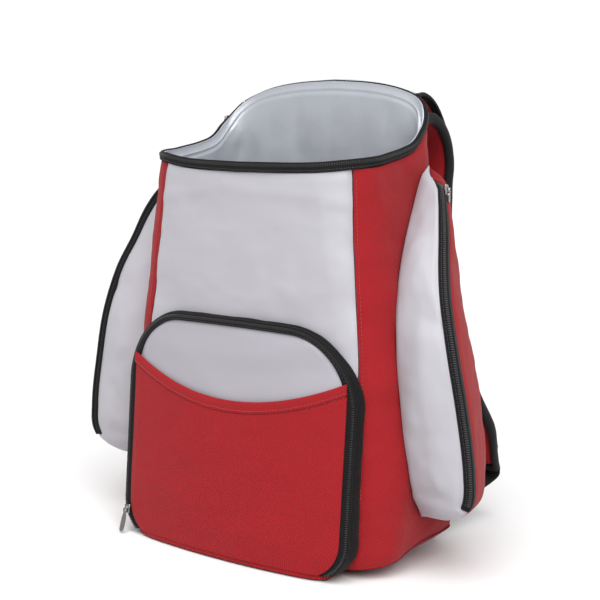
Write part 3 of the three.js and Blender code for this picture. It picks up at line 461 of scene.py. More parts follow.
def run_length(path):
    """Length run along a path up to each of its points."""
    return np.concatenate([[0], np.cumsum(np.linalg.norm(np.diff(path, axis=0), axis=1))])


def lengths(sheet):
    """Map over a sheet of points in millimetres: across by the middle row, up by the middle column."""
    rows, cols = sheet.shape[:2]
    row = sheet[rows // 2]
    col = sheet[:, cols // 2]
    return np.stack(np.meshgrid(run_length(row), run_length(col)), -1).reshape(-1, 2)


def sheet_faces(rows, cols):
    """Faces of a closed wall between an outer and an inner sheet of points."""
    n = rows * cols
    faces = []
    for j in range(rows - 1):
        for i in range(cols - 1):
            a = j * cols + i
            faces.append((a, a + 1, a + 1 + cols, a + cols))
            faces.append((n + a, n + a + cols, n + a + 1 + cols, n + a + 1))
    for i in range(cols - 1):
        top = (rows - 1) * cols + i
        faces.append((i + 1, i, n + i, n + i + 1))
        faces.append((top, top + 1, n + top + 1, n + top))
    for j in range(rows - 1):
        left = j * cols
        right = left + cols - 1
        faces.append((left, left + cols, n + left + cols, n + left))
        faces.append((right + cols, right, n + right, n + right + cols))
    return faces


def slab(name, outer, inner, material):
    """A closed sheet with thickness, between an outer and an inner grid of points."""
    rows, cols = outer.shape[:2]
    points = np.concatenate([outer.reshape(-1, 3), inner.reshape(-1, 3)])
    uvs = np.concatenate([lengths(outer)] * 2)
    return make(name, points, sheet_faces(rows, cols), material, uvs)


def tube(name, rings, material, closed=False, sharp=60.0):
    """A body through closed rings of points, (stations, points round, 3), with its ends capped."""
    rings = np.asarray(rings, float)
    count, around = rings.shape[:2]
    faces = []
    for r in range(count if closed else count - 1):
        s = (r + 1) % count
        for k in range(around):
            m = (k + 1) % around
            faces.append((r * around + k, r * around + m, s * around + m, s * around + k))
    if not closed:
        faces.append(tuple(range(around))[::-1])
        faces.append(tuple((count - 1) * around + k for k in range(around)))
    middle = rings.mean(axis=1)
    uvs = np.stack(np.meshgrid(run_length(rings[0]), run_length(middle)), -1).reshape(-1, 2)
    return make(name, rings.reshape(-1, 3), faces, material, uvs, sharp)


def unit(v):
    return v / np.maximum(np.linalg.norm(v, axis=-1, keepdims=True), 1e-9)


def even(path, pitch):
    """Places along a path at an even pitch, with the path's direction there."""
    path = np.asarray(path, float)
    steps = run_length(path)
    count = max(2, int(steps[-1] / pitch))
    at = (np.arange(count) + 0.5) * steps[-1] / count
    index = np.clip(np.searchsorted(steps, at) - 1, 0, len(path) - 2)
    t = ((at - steps[index]) / np.maximum(steps[index + 1] - steps[index], 1e-9))[:, None]
    return at / steps[-1], path[index] * (1 - t) + path[index + 1] * t, unit(path[index + 1] - path[index])


EIGHT_CORNERS = ((-1, -0.6), (-0.6, -1), (0.6, -1), (1, -0.6), (1, 0.6), (0.6, 1), (-0.6, 1), (-1, 0.6))


def bars(name, places, along, out, long, wide, high, material, taper):
    """Small bars in one mesh, such as stitches or zip teeth, with their sizes along, across and outwards."""
    along, out = unit(along), unit(out)
    across = unit(np.cross(out, along))
    out = unit(np.cross(along, across))
    points, faces = [], []
    for k, place in enumerate(places):
        start = len(points)
        for level, size in ((0.0, 1.0), (0.7, 0.95), (1.0, taper)):
            for a, b in EIGHT_CORNERS:
                points.append(place + along[k] * a * size * long / 2 + across[k] * b * size * wide / 2
                              + out[k] * level * high)
        for lower in (start, start + 8):
            for i in range(8):
                m = (i + 1) % 8
                faces.append((lower + i, lower + m, lower + 8 + m, lower + 8 + i))
        faces.append(tuple(start + i for i in range(8))[::-1])
        faces.append(tuple(start + 16 + i for i in range(8)))
    return make(name, points, faces, material)


def stitches(name, path, out, material, pitch=3.4, long=2.5, wide=0.7, high=0.4, sunk=0.1, taper=0.7):
    """A row of stitches along a path; out gives the outward direction at each of the path's points."""
    share, places, along = even(path, pitch)
    at = share * (len(out) - 1)
    low_index = np.clip(at.astype(int), 0, len(out) - 2)
    t = (at - low_index)[:, None]
    facing = unit(out[low_index] * (1 - t) + out[low_index + 1] * t)
    return bars(name, places - facing * sunk, along, facing, long, wide, high, material, taper)


def teeth(name, path, out, wide=3.0, high=0.9):
    return stitches(name, path, out, zip_teeth, TOOTH_PITCH, TOOTH_LENGTH, wide, high, sunk=0.2, taper=0.6)


def push(sheet, inner, amount):
    """Moves the points of an outer sheet along its own normals, away from the inner one."""
    across = np.gradient(sheet, axis=1)
    along = np.gradient(sheet, axis=0)
    normal = unit(np.cross(across, along))
    flip = np.sign(np.sum(normal * (sheet - inner), -1, keepdims=True))
    return sheet + normal * np.where(flip == 0, 1, flip) * np.asarray(amount)[..., None]


def groove(distance, depth=1.3, width=3.0):
    return -depth * np.exp(-(distance / width) ** 2)


# Main compartment

SIDES = ((-1, "left"), (1, "right"))


def body_panel(name, material, slot, girths, rows, node_name, wrinkle, seed, folds):
    first, last = girths[0], girths[-1]
    g, v = np.meshgrid(girths, np.linspace(0, 1, rows))
    low_z, high_z = seam_rise(g) + GAP, rim_rise(g)
    z = lerp(low_z, high_z, v)
    outer = skin(g, z, 0.0)
    inner = skin(g, z, WALL)
    amount = groove(np.minimum(np.abs(g - first), np.abs(last - g)) * HALF_GIRTH) + groove(z - low_z, 1.0)
    amount = amount + groove(high_z - z, 1.2, 4.0)
    amount = amount + wrinkle * rough(outer, (55, 55, 38), 3, seed)
    amount = amount + folds(g, z)
    obj = slab(name, push(outer, inner, amount), inner, material)
    dress(obj, slot, node_name)
    return obj


def front_folds(g, z):
    x = g * HALF_GIRTH
    sag = 1.6 * np.exp(-((z - 322 + 0.0006 * x**2) / 6) ** 2)
    pull = 1.2 * np.sin((x + 0.5 * z) / 26) * np.exp(-((z - 300) / 60) ** 2) * smooth(np.abs(x), 20, 110)
    lower = 1.5 * np.sin((x * 0.35 - z) / 13) * np.exp(-((np.abs(x) - 105) / 30) ** 2 - ((z - 225) / 35) ** 2)
    return sag * 0.6 + pull * 0.6 + lower * 0.5


def side_folds(g, z):
    x = np.abs(g) * HALF_GIRTH
    upper = 1.6 * np.exp(-((x - 0.9 * (z - 215)) / 9) ** 2) * smooth(z, 300, 360)
    waist = 1.1 * np.sin((z + 0.5 * x) / 15) * np.exp(-((z - 320) / 38) ** 2)
    base = 0.9 * np.sin((z - 0.4 * x) / 12) * np.exp(-((z - 55) / 40) ** 2)
    return upper * 0.4 + waist * 0.7 + base * 0.6


def back_folds(g, z):
    return 1.3 * np.sin(z / 17 + 2 * g) * np.exp(-((z - 200) / 130) ** 2) * 0.6


front_girths = np.linspace(-FRONT_SEAM + SEAM_SLIT, FRONT_SEAM - SEAM_SLIT, 96)
side_girths = np.linspace(FRONT_SEAM + SEAM_SLIT, BACK_SEAM - SEAM_SLIT, 72)
back_girths = np.linspace(BACK_SEAM + SEAM_SLIT, 2 - BACK_SEAM - SEAM_SLIT, 84)
body_panel("front_cloth", grey_cloth, "grey_cloth", front_girths, 110, "front_panel", 1.7, 3.0, front_folds)
for side, name, seed in ((-1, "left", 11.0), (1, "right", 7.0)):
    body_panel(f"side_cloth_{name}", red_cloth, "red_cloth", side * side_girths, 110,
               f"side_panel_{name}", 1.6, seed, side_folds)
body_panel("back_cloth", red_cloth, "red_cloth", back_girths, 90, "back_panel", 1.8, 5.0, back_folds)


for side, name in SIDES:
    z = np.linspace(8, FRONT_RIM_RISE - 2, 160)
    path = skin(side * (FRONT_SEAM + 0.0065), z, -0.1)
    facing = path - skin(side * (FRONT_SEAM + 0.0065), z, 4)
    dress(stitches(f"front_seam_stitches_{name}", path, facing, red_thread, wide=0.6), "red_cloth")


def around(count):
    return np.linspace(-1, 1, count, endpoint=False)


def ring(girths, depth, rise):
    return skin(girths, rise, depth)


def base_piece():
    g = around(150)
    seam = seam_rise(g)
    rings = [ring(g, BASE_FLAT_INSET, 0 * g)]
    for t in np.linspace(0, 1, 7)[1:]:
        rings.append(ring(g, lerp(BASE_FLAT_INSET, 0.6, t), seam * (1 - math.cos(t * math.pi / 2)) ** 0.9))
    rings.append(ring(g, WALL, seam))
    rings.append(ring(g, BASE_FLAT_INSET * 0.7, 0.1 * seam + BASE_THICKNESS))
    rings.append(ring(g, BASE_FLAT_INSET, 0 * g + BASE_THICKNESS))
    obj = tube("base_cloth", np.array(rings), red_cloth, sharp=70)
    dress(obj, "red_cloth", "base_panel")


def lining_piece():
    g = around(170)
    seam, rim = seam_rise(g), rim_rise(g)
    outside = WALL + LINING_EASE
    inside = outside + LINING
    lip_out = TAPE_THICKNESS + GAP
    lip_in = lip_out + LINING
    floor = BASE_THICKNESS + BASE_GAP
    rings = [ring(g, BASE_FLAT_INSET, 0 * g + floor), ring(g, BASE_FLAT_INSET * 0.7, 0.1 * seam + floor),
             ring(g, outside, seam + BASE_GAP)]
    for share in np.linspace(0, 1, 12)[1:-1]:
        rings.append(ring(g, outside, lerp(seam, rim, share)))
    lip = ((outside, RIM_GAP), (lip_out, RIM_GAP), (lip_out, 8), (lip_in, 8),
           (lip_in + 0.6, RIM_GAP + LINING), (inside, -3))
    rings += [ring(g, depth, rim + height) for depth, height in lip]
    for share in np.linspace(0, 1, 64)[1:-1][::-1]:
        place = ring(g, inside, lerp(seam, rim, share))
        edge = smooth(share, 0.0, 0.08) * smooth(1 - share, 0.0, 0.06)
        puckers = 1.6 * (1 + rough(place, (22, 22, 60), 3, 2.0)) * edge
        rings.append(ring(g, inside + puckers, lerp(seam, rim, share)))
    rings += [ring(g, inside + LINING, seam + BASE_GAP + LINING),
              ring(g, BASE_FLAT_INSET * 0.7, 0.1 * seam + floor + LINING),
              ring(g, BASE_FLAT_INSET, 0 * g + floor + LINING)]
    obj = tube("lining_film", np.array(rings), lining_film, sharp=75)
    dress(obj, "lining_film", "lining")


base_piece()
lining_piece()

# Depth inwards and height over the rim, round the section of the tape
TAPE_SECTION = [(-0.5, 1.2), (-1.1, 3.0), (-1.3, 5.0), (-1.0, 7.2), (-0.1, 8.8), (1.0, 9.2), (2.1, 8.6),
                (2.3, 5.0), (2.2, 1.2)]


def rim_tape(name, girths, node_name):
    rim = rim_rise(girths)
    rings = np.stack([skin(girths, rim + height, depth) for depth, height in TAPE_SECTION], axis=1)
    dress(tube(name, rings, tape_cloth), "black_tape", node_name)


def rim_path(girths, height, depth):
    rim = rim_rise(girths)
    path = skin(girths, rim + height, depth)
    return path, path - skin(girths, rim + height, depth + 4)


mouth_girths = np.linspace(-BACK_SEAM + SEAM_SLIT, BACK_SEAM - SEAM_SLIT, 220)
rim_tape("mouth_tape", mouth_girths, "mouth_zip")
rim_tape("hinge_tape", back_girths, "hinge_binding")
path, out = rim_path(mouth_girths, 6.3, -1.05)
dress(teeth("mouth_teeth", path, out, wide=2.6, high=0.8), "black_tape")
path, out = rim_path(mouth_girths, 2.2, -0.75)
dress(stitches("mouth_stitches", path, out, black_thread, wide=0.6, high=0.3), "black_tape")


# Lid turned back


def lid_point(across, along, depth=0.0, inset=0.0):
    across, along = np.broadcast_arrays(np.asarray(across, float), np.asarray(along, float))
    hinge = skin(1.0, ARCH_RISE)
    reach = read(LID, along, 1) * LID_STAND
    fall = read(LID, along, 2) * LID_DROP
    half = read(LID, along, 3) * LID_HALF_WIDTH - inset
    before, after = np.maximum(0, along - 0.01), np.minimum(1, along + 0.01)
    dy = (read(LID, after, 1) - read(LID, before, 1)) * LID_STAND
    dz = (read(LID, after, 2) - read(LID, before, 2)) * LID_DROP
    long = np.hypot(dy, dz)
    sag = LID_SAG * smooth(along, 0.05, 0.4) * np.cos(across * np.pi / 2) ** 2
    inwards = depth + sag
    return np.stack([
        across * half,
        hinge[1] + TAPE_PROUD + GAP + reach - dz / long * inwards,
        hinge[2] + TAPE_HEIGHT - fall - dy / long * inwards - LID_ARCH * across**2 * (1 - along),
    ], -1)


def lid_pieces():
    far = 1 - LID_TAPE / LID_LENGTH
    u, v = np.meshgrid(np.linspace(-1, 1, 70), np.linspace(0, far, 84))
    inset = LID_TAPE + GAP
    under = LINING + GAP
    quilt = 0.9 * rough(lid_point(u, v), (38, 30, 30), 3, 8.0) * np.sin(np.pi * (u + 1) / 2) ** 0.5
    top = push(lid_point(u, v, 0, inset), lid_point(u, v, LINING, inset), quilt * 0.6)
    film = slab("lid_film", top, lid_point(u, v, LINING, inset), lining_film)
    dress(film, "lining_film", "lid_lining")
    bottom = push(lid_point(u, v, under + LID_THICKNESS, inset), lid_point(u, v, under, inset), quilt - 0.5)
    cover = slab("lid_cloth", bottom, lid_point(u, v, under, inset), red_cloth)
    dress(cover, "red_cloth", "lid_panel")
    side = np.linspace(0, far, 60)
    cross = np.linspace(-1, 1, 70)
    across = np.concatenate([-np.ones(60), cross, np.ones(60)])
    outer = np.concatenate([side, np.ones(70), side[::-1]])
    inner = np.concatenate([side, np.full(70, far + GAP / LID_LENGTH), side[::-1]])
    rows = np.linspace(0, 1, 6)

    def tape_row(t, depth):
        return lid_point(across, lerp(outer, inner, t), depth, LID_TAPE * t)

    band = np.array([tape_row(t, -0.5 * math.sin(math.pi * t)) for t in rows])
    back = np.array([tape_row(t, TAPE_THICKNESS) for t in rows])
    dress(slab("lid_tape", band, back, tape_cloth), "black_tape", "lid_zip")
    path = tape_row(0.25, -0.4)
    out_dir = path - tape_row(0.25, 3)
    dress(teeth("lid_teeth", path, out_dir, wide=2.6), "black_tape")


lid_pieces()


# Front pocket


def front_face(x, z):
    at = np.asarray(z) / FRONT_RIM_RISE
    half, front = half_width(z), FRONT_REACH * read(SECTIONS, at, 2)
    bow, corner = FRONT_BOW * read(SECTIONS, at, 4), FRONT_CORNER * read(SECTIONS, at, 5)
    past = np.clip(np.abs(x) - (half - corner), 0, corner)
    return -front + corner - np.sqrt(corner**2 - past**2) - bow * (1 - (x / half) ** 2)


def pocket_face(x, z):
    reach = lerp(POCKET_REACH_LOW, POCKET_REACH_HIGH, z / POCKET_RISE)
    return -reach - POCKET_BOW * (1 - (x / POCKET_HALF_WIDTH) ** 2)


def crowned(x, y, z):
    lift = POCKET_CROWN * (1 - (x / POCKET_HALF_WIDTH) ** 2) * (z / POCKET_RISE) ** 2
    return np.stack(np.broadcast_arrays(x, y, z + lift), -1)


def on_pocket(x, z, depth=0.0):
    """Points at a depth behind the front pocket's face."""
    return crowned(x, pocket_face(x, z) + depth, z)


CORNER_STEPS, SIDE_STEPS, ARC_STEPS, TOP_STEPS = 3, 4, 6, 3
HALF_STATIONS = CORNER_STEPS + SIDE_STEPS + ARC_STEPS + TOP_STEPS


def half_outline(station, inset):
    """Half outline of the pocket, from 0 at its foot to HALF_STATIONS at its top centre."""
    s = np.asarray(station, float)
    straight, radius = POCKET_RISE - POCKET_SHOULDER, POCKET_SHOULDER - inset
    half = POCKET_HALF_WIDTH - inset
    foot = POCKET_FOOT + POCKET_CORNER * math.cos(POCKET_CORNER_START)
    turn = lerp(POCKET_CORNER_START, np.pi / 2, np.clip(s / CORNER_STEPS, 0, 1))
    up = s - CORNER_STEPS
    past = up - SIDE_STEPS
    bend = np.clip(past / ARC_STEPS, 0, 1) * np.pi / 2
    left = 1 - (past - ARC_STEPS) / TOP_STEPS
    zones = [s <= CORNER_STEPS, up <= SIDE_STEPS, past <= ARC_STEPS]
    x = np.select(zones, [half - POCKET_CORNER * (1 - np.sin(turn)), half,
                          half - radius * (1 - np.cos(bend))], (half - radius) * left)
    z = np.select(zones, [foot - POCKET_CORNER * np.cos(turn), lerp(foot, straight, up / SIDE_STEPS),
                          straight + radius * np.sin(bend)], straight + radius)
    return x, z


def outline(count, inset):
    """The pocket's whole outline from its left foot over the top to its right foot."""
    s = np.linspace(0, HALF_STATIONS, count)
    x, z = half_outline(s, inset)
    return np.concatenate([-x, x[::-1][1:]]), np.concatenate([z, z[::-1][1:]])


def tape_width(z):
    return POCKET_TAPE * (0.84 - 0.22 * smooth(z, 150, 205))


def foot_half(z, inset):
    drop = np.clip(math.cos(POCKET_CORNER_START) - (z - POCKET_FOOT) / POCKET_CORNER, 0, 1)
    return POCKET_HALF_WIDTH - inset - POCKET_CORNER * (1 - np.sqrt(1 - drop**2))


def hem_rise(x, half):
    return HEM_SIDE_RISE - HEM_DIP * (1 - (x / half) ** 2)


BOTTOM_ROLL = 3.6


def slip_sheet(half, inset, rise_from, rise_to, cols, rows, back):
    i, j = np.meshgrid(np.linspace(0, 1, cols), np.linspace(0, 1, rows))
    level = half * (2 * i - 1)
    z = lerp(rise_from(level), rise_to(level), j)
    x = foot_half(z, inset + SLIP_INSET) * (2 * i - 1)
    full = SLIP_FULLNESS * np.cos((i - 0.5) * np.pi) * np.sin(np.pi * np.clip(z / HEM_SIDE_RISE, 0, 1)) ** 0.7
    return np.stack([x, pocket_face(x, z) - GAP - SLIP_CLOTH - full + back, z], -1), i, z


def front_pocket():
    count = 150
    cols = 2 * count - 1
    # Side wall between the bag and the face
    rows = np.linspace(0, 1, 12)

    def wall_sheet(inset):
        x, z = outline(count, inset)
        start, end = front_face(x, z) - GAP, pocket_face(x, z) + CLOTH + GAP
        return np.array([crowned(x, lerp(start, end, t), z) for t in rows])

    outer, inner = wall_sheet(0), wall_sheet(CLOTH)
    waves = 0.5 * rough(outer, (16, 12, 16), 2, 1.0) + 1.2 * np.sin(np.pi * rows)[:, None]
    sides = slab("pocket_wall", push(outer, inner, waves), inner, tape_cloth)
    dress(sides, "black_tape", "front_pocket_gusset")
    # Zip tape round the face
    tape_rows = np.linspace(0, 1, 9)
    front, rear = [], []
    width = tape_width(half_outline(np.linspace(0, HALF_STATIONS, count), 0)[1])
    for t in tape_rows:
        x, z = outline(count, width * t)
        front.append(on_pocket(x, z, -0.9 * math.sin(math.pi * min(1.0, t * 1.15))))
        rear.append(on_pocket(x, z, CLOTH))
    dress(slab("pocket_tape", np.array(front), np.array(rear), tape_cloth), "black_tape", "front_pocket_zip")
    ahead = np.tile([0.0, -1, 0], (cols, 1))
    path = on_pocket(*outline(count, 2.6), -0.75)
    dress(teeth("pocket_teeth", path, ahead, wide=2.6, high=1.0), "black_tape")
    path = on_pocket(*outline(count, 5.2), -0.45)
    dress(stitches("pocket_stitches", path, ahead, black_thread, wide=0.6, high=0.3), "black_tape")
    # Face
    s = np.linspace(0, HALF_STATIONS - TOP_STEPS, 90)
    inset = tape_width(half_outline(s, 0)[1]) - 0.6
    half, z_row = half_outline(s, inset)
    i = np.linspace(0, 1, 90)
    x = half[:, None] * (2 * i - 1)[None]
    z = np.broadcast_to(z_row[:, None], x.shape)
    face, behind = on_pocket(x, z), on_pocket(x, z, CLOTH)
    edge = np.minimum(half[:, None] - np.abs(x), z_row[-1] - z)
    amount = groove(edge, 1.4, 5) + 0.5 * rough(face, (50, 50, 30), 3, 9.0)
    ripples = np.sin((z - 0.0022 * x**2 - 0.12 * x) / 8.5)
    amount = amount + 0.72 * ripples * np.exp(-((z - 178) / 18) ** 2)
    # The face takes the darker grey cloth, with painted shade in its colour
    obj = slab("pocket_face_cloth", push(face, behind, amount), behind, painted_shade_grey)
    dress(obj, "grey_cloth", "front_pocket_panel")
    slip_pocket(tape_width(0.0))
    # Bottom of the pocket
    share = np.linspace(-1, 1, 90)
    x = (foot_half(POCKET_FOOT, 0) - 3) * share
    start = front_face(x, np.full_like(x, POCKET_FOOT)) - GAP
    lip = pocket_face(x, POCKET_FOOT) - POCKET_LIP + 5 * share**12
    level = 0 * x + POCKET_FOOT - GAP
    upper = np.array([np.stack([x, lerp(start, lip, t), level], -1) for t in np.linspace(0, 1, 10)])
    lower = upper - (0, 0, BOTTOM_ROLL)
    dress(slab("pocket_bottom", upper, lower, red_cloth), "red_cloth", "front_pocket_base")


def slip_pocket(inset):
    half = POCKET_HALF_WIDTH - inset - SLIP_INSET
    foot = lambda x: 0 * x + POCKET_FOOT
    hem_foot = lambda x: hem_rise(x, half) - HEM_WIDTH
    hem_top = lambda x: hem_rise(x, half)
    below = lambda x: hem_foot(x) - GAP
    front, i, z = slip_sheet(half, inset, foot, below, 110, 90, 0.0)
    back = slip_sheet(half, inset, foot, below, 110, 90, SLIP_CLOTH)[0]
    edge = np.minimum(i, 1 - i) * 2 * half
    amount = groove(edge, 1.0, 4) + 0.7 * rough(front, (60, 60, 26), 3, 6.0) * smooth(edge, 0, 18)
    amount = amount + 1.2 * np.sin((z + 0.35 * front[..., 0]) / 19) * np.exp(-((z - 40) / 26) ** 2) * 0.5
    obj = slab("slip_cloth", push(front, back, amount), back, red_cloth)
    dress(obj, "red_cloth", "slip_pocket")
    front = slip_sheet(half, inset, hem_foot, hem_top, 110, 9, -HEM_PROUD)[0]
    back = slip_sheet(half, inset, hem_foot, hem_top, 110, 9, SLIP_CLOTH)[0]
    roll = np.linspace(-1, 1, 9)[:, None]
    hem = push(front, back, 0.9 * np.sqrt(np.clip(1 - roll**2, 0, 1)) - 0.5 + 0 * front[..., 0])
    dress(slab("slip_hem", hem, back, red_cloth), "red_cloth", "slip_pocket_hem")
    path = hem[2] - (0, 0.05, 0)
    dress(stitches("hem_stitches_0", path, np.tile([0.0, -1, 0], (len(path), 1)), red_thread), "red_cloth")


front_pocket()


# Side pockets


def side_edges(v):
    z = lerp(SIDE_POCKET_FOOT, SIDE_POCKET_TOP, np.minimum(v, 0.95) + 0.4 * np.maximum(v - 0.95, 0))
    out = read(SIDE_POCKET, v, 1)
    sewn = z + SIDE_SEAM_LIFT * smooth(v, 0.84, 1)
    seam = skin(read(SIDE_POCKET, v, 3), sewn, -SIDE_POCKET_SEAT)
    rear = skin(read(SIDE_POCKET, v, 4), sewn, -SIDE_POCKET_SEAT)
    ridge = np.stack([half_width(z) + SIDE_POCKET_SEAT + out * SIDE_POCKET_OUT,
                      -read(SIDE_POCKET, v, 2) * SIDE_POCKET_LEAD, z], -1)
    return seam, ridge, rear, out


def side_surface(v, w):
    """Point of the right side pocket.

    v runs up from its foot, and w from the front seam over the ridge at 0.5 to the rear seam.
    """
    seam, ridge, rear, out = side_edges(v)
    ahead = (w < 0.5)[..., None]
    t = np.where(w < 0.5, w * 2, w * 2 - 1)
    start, end = np.where(ahead, seam, ridge), np.where(ahead, ridge, rear)
    full = np.where(w < 0.5, SIDE_POCKET_FRONT_FULLNESS, SIDE_POCKET_REAR_FULLNESS)
    along = end - start
    flat = unit(np.stack([along[..., 1], -along[..., 0], 0 * along[..., 0]], -1))
    return start + along * t[..., None] + flat * (full * out * np.sin(np.pi * t))[..., None]


def side_inner(v, w):
    seam, _, rear, _ = side_edges(v)
    core = (seam + rear) / 2
    core[..., 0] += 4 * SIDE_POCKET_SEAT
    lowest, highest = SIDE_POCKET_FOOT + SIDE_POCKET_CLOSE, SIDE_POCKET_TOP - SIDE_POCKET_CLOSE
    core[..., 2] = np.clip(core[..., 2], lowest, highest)
    point = side_surface(v, w)
    return point + unit(core - point) * SIDE_POCKET_CLOTH


def side_band(v):
    seam, ridge, rear, out = side_edges(v)
    half = SIDE_ZIP_WIDTH / 2 * np.clip(0.5 + out, 0, 1) * smooth(v, SIDE_ZIP_FOOT - 0.012, SIDE_ZIP_FOOT)
    reach_a = np.minimum(0.32, 0.5 * half / np.linalg.norm(seam - ridge, axis=-1))
    reach_b = np.minimum(0.32, 0.5 * half / np.linalg.norm(rear - ridge, axis=-1))
    slit = GAP / (1.6 * np.linalg.norm(seam - ridge, axis=-1))
    return 0.5 - reach_a, 0.5 + reach_b, slit


def side_patch(side, name, cols, start, end, material, relief, foot=0.0):
    """Part of a side pocket between two lines up it, with its rows closer together near foot and top."""
    t = np.linspace(0, 1, 120)[1:-1]
    v = np.concatenate([[0], 0.5 - 0.5 * np.cos(np.pi * t) * (1 - 0.25 * np.sin(np.pi * t)), [1]])
    v = lerp(foot, 1, np.sort(np.clip(v, 0, 1)))
    u = np.linspace(0, 1, cols)
    vv = np.broadcast_to(v[:, None], (len(v), cols))
    ww = lerp(start(v)[:, None], end(v)[:, None], u[None])
    outer, inner = side_surface(vv, ww), side_inner(vv, ww)
    outer = push(outer, inner, relief(vv, np.broadcast_to(u[None], vv.shape), outer))
    mirror = np.array([side, 1.0, 1.0])
    outer, inner = outer * mirror, inner * mirror
    return slab(name, outer, inner, material), outer, inner


# About how long a side pocket and how wide its front and rear are, for its folds
SIDE_SPAN, SIDE_FRONT_SPAN, SIDE_REAR_SPAN = 300, 75, 110


def side_pocket(side, name, seed):
    first = lambda v: side_band(v)[0] - side_band(v)[2]
    zip_start = lambda v: side_band(v)[0] + side_band(v)[2]
    zip_end = lambda v: side_band(v)[1] - side_band(v)[2]
    last = lambda v: side_band(v)[1] + side_band(v)[2]

    def front_relief(v, u, at):
        ends = np.minimum(v, 1 - v) * SIDE_SPAN
        plump = 2.0 * np.sin(np.pi * u) * smooth(ends, 0, 40)
        lumps = 3.0 * rough(at, (46, 40, 54), 3, seed) * smooth(ends, 4, 40) * np.sin(np.pi * u) ** 0.6
        crease = -1.6 * np.exp(-((v * SIDE_SPAN - 190 + 14 * u) / 7) ** 2) * smooth(u, 0.3, 1.0)
        low = -1.8 * np.exp(-((v * SIDE_SPAN - 26 - 10 * u) / 9) ** 2) * np.sin(np.pi * u)
        seams = groove(np.minimum(u, 1 - u) * SIDE_FRONT_SPAN, 1.2, 4) + groove(ends, 0.8)
        return plump + lumps + crease * 0.7 + low + seams

    def rear_relief(v, u, at):
        ends = np.minimum(v, 1 - v) * SIDE_SPAN
        pleats = 1.4 * np.sin(v * SIDE_SPAN / 13 + 2.5 * u) * np.sin(np.pi * u)
        pleats = pleats * np.exp(-((v - 0.12) / 0.12) ** 2)
        lumps = 2.6 * rough(at, (42, 40, 46), 3, seed + 4) * smooth(ends, 4, 40) * np.sin(np.pi * u) ** 0.6
        return lumps + pleats + groove(np.minimum(u, 1 - u) * SIDE_REAR_SPAN, 1.2, 4) + groove(ends, 0.8)

    def band_relief(v, u, at):
        return 0.9 * np.exp(-((u - 0.5) / 0.16) ** 2) + 0.4 * np.sin(np.pi * u)

    seam, end = lambda v: 0 * v, lambda v: 0 * v + 1
    obj, sheet, _ = side_patch(side, f"side_front_{name}", 60, seam, first, grey_cloth, front_relief)
    dress(obj, "grey_cloth", f"side_pocket_panel_{name}")
    obj, sheet, _ = side_patch(side, f"side_rear_{name}", 70, last, end, red_cloth, rear_relief)
    dress(obj, "red_cloth", f"side_pocket_rear_{name}")
    obj, sheet, under = side_patch(side, f"side_tape_{name}", 15, zip_start, zip_end, tape_cloth, band_relief,
                                   foot=SIDE_ZIP_FOOT - 0.004)
    dress(obj, "black_tape", f"side_pocket_zip_{name}")
    middle = sheet.shape[1] // 2
    span = slice(4, -4)
    out = unit(sheet - under)
    path = sheet[span, middle]
    dress(teeth(f"side_teeth_{name}", path, out[span, middle], wide=3.4, high=0.8), "black_tape")
    for k, col in ((0, 3), (1, 11)):
        row = stitches(f"side_stitches_{name}_{k}", sheet[span, col], out[span, col], black_thread, wide=0.6,
                       high=0.3)
        dress(row, "black_tape")


for side, name, seed in ((-1, "left", 21.0), (1, "right", 33.0)):
    side_pocket(side, name, seed)


# Shoulder straps


def strap_centre(side, along):
    along = np.asarray(along, float)
    half = half_width(STRAP_ROOT_RISE)
    back = BACK_REACH * read(SECTIONS, STRAP_ROOT_RISE / FRONT_RIM_RISE, 3)
    back = back + BACK_BOW * (1 - (STRAP_SPACING / half) ** 2)
    return np.stack([side * (STRAP_SPACING + STRAP_SPREAD * read(STRAP_ROUTE, along, 3)),
                     back + STRAP_SEAT + STRAP_STAND * read(STRAP_ROUTE, along, 2),
                     lerp(STRAP_ROOT_RISE, STRAP_END_RISE, read(STRAP_ROUTE, along, 1))], -1)


def strap_frame(side, along):
    before = strap_centre(side, np.maximum(0, along - 0.004))
    after = strap_centre(side, np.minimum(1, along + 0.004))
    fall = unit(after - before)
    return fall, unit(np.stack([0 * fall[..., 0], -fall[..., 2], fall[..., 1]], -1))


def strap_point(side, across, along, over):
    across, along, over = np.broadcast_arrays(*(np.asarray(a, float) for a in (across, along, over)))
    _, outwards = strap_frame(side, along)
    across = across * (1 - 0.42 * smooth(along, 0.84, 1.0))
    return strap_centre(side, along) + across[..., None] * np.array([1.0, 0, 0]) + outwards * over[..., None]


PAD_HALF = STRAP_WIDTH / 2 - 6.5
WEBBING_ACROSS = np.linspace(-WEBBING_WIDTH / 2, WEBBING_WIDTH / 2, 9)
WEBBING_HALF = 0.8
# Height of the buckle's middle over the strap's own middle
BUCKLE_OVER = STRAP_THICKNESS / 2 + BINDING_PROUD + GAP + BUCKLE_THICKNESS / 2


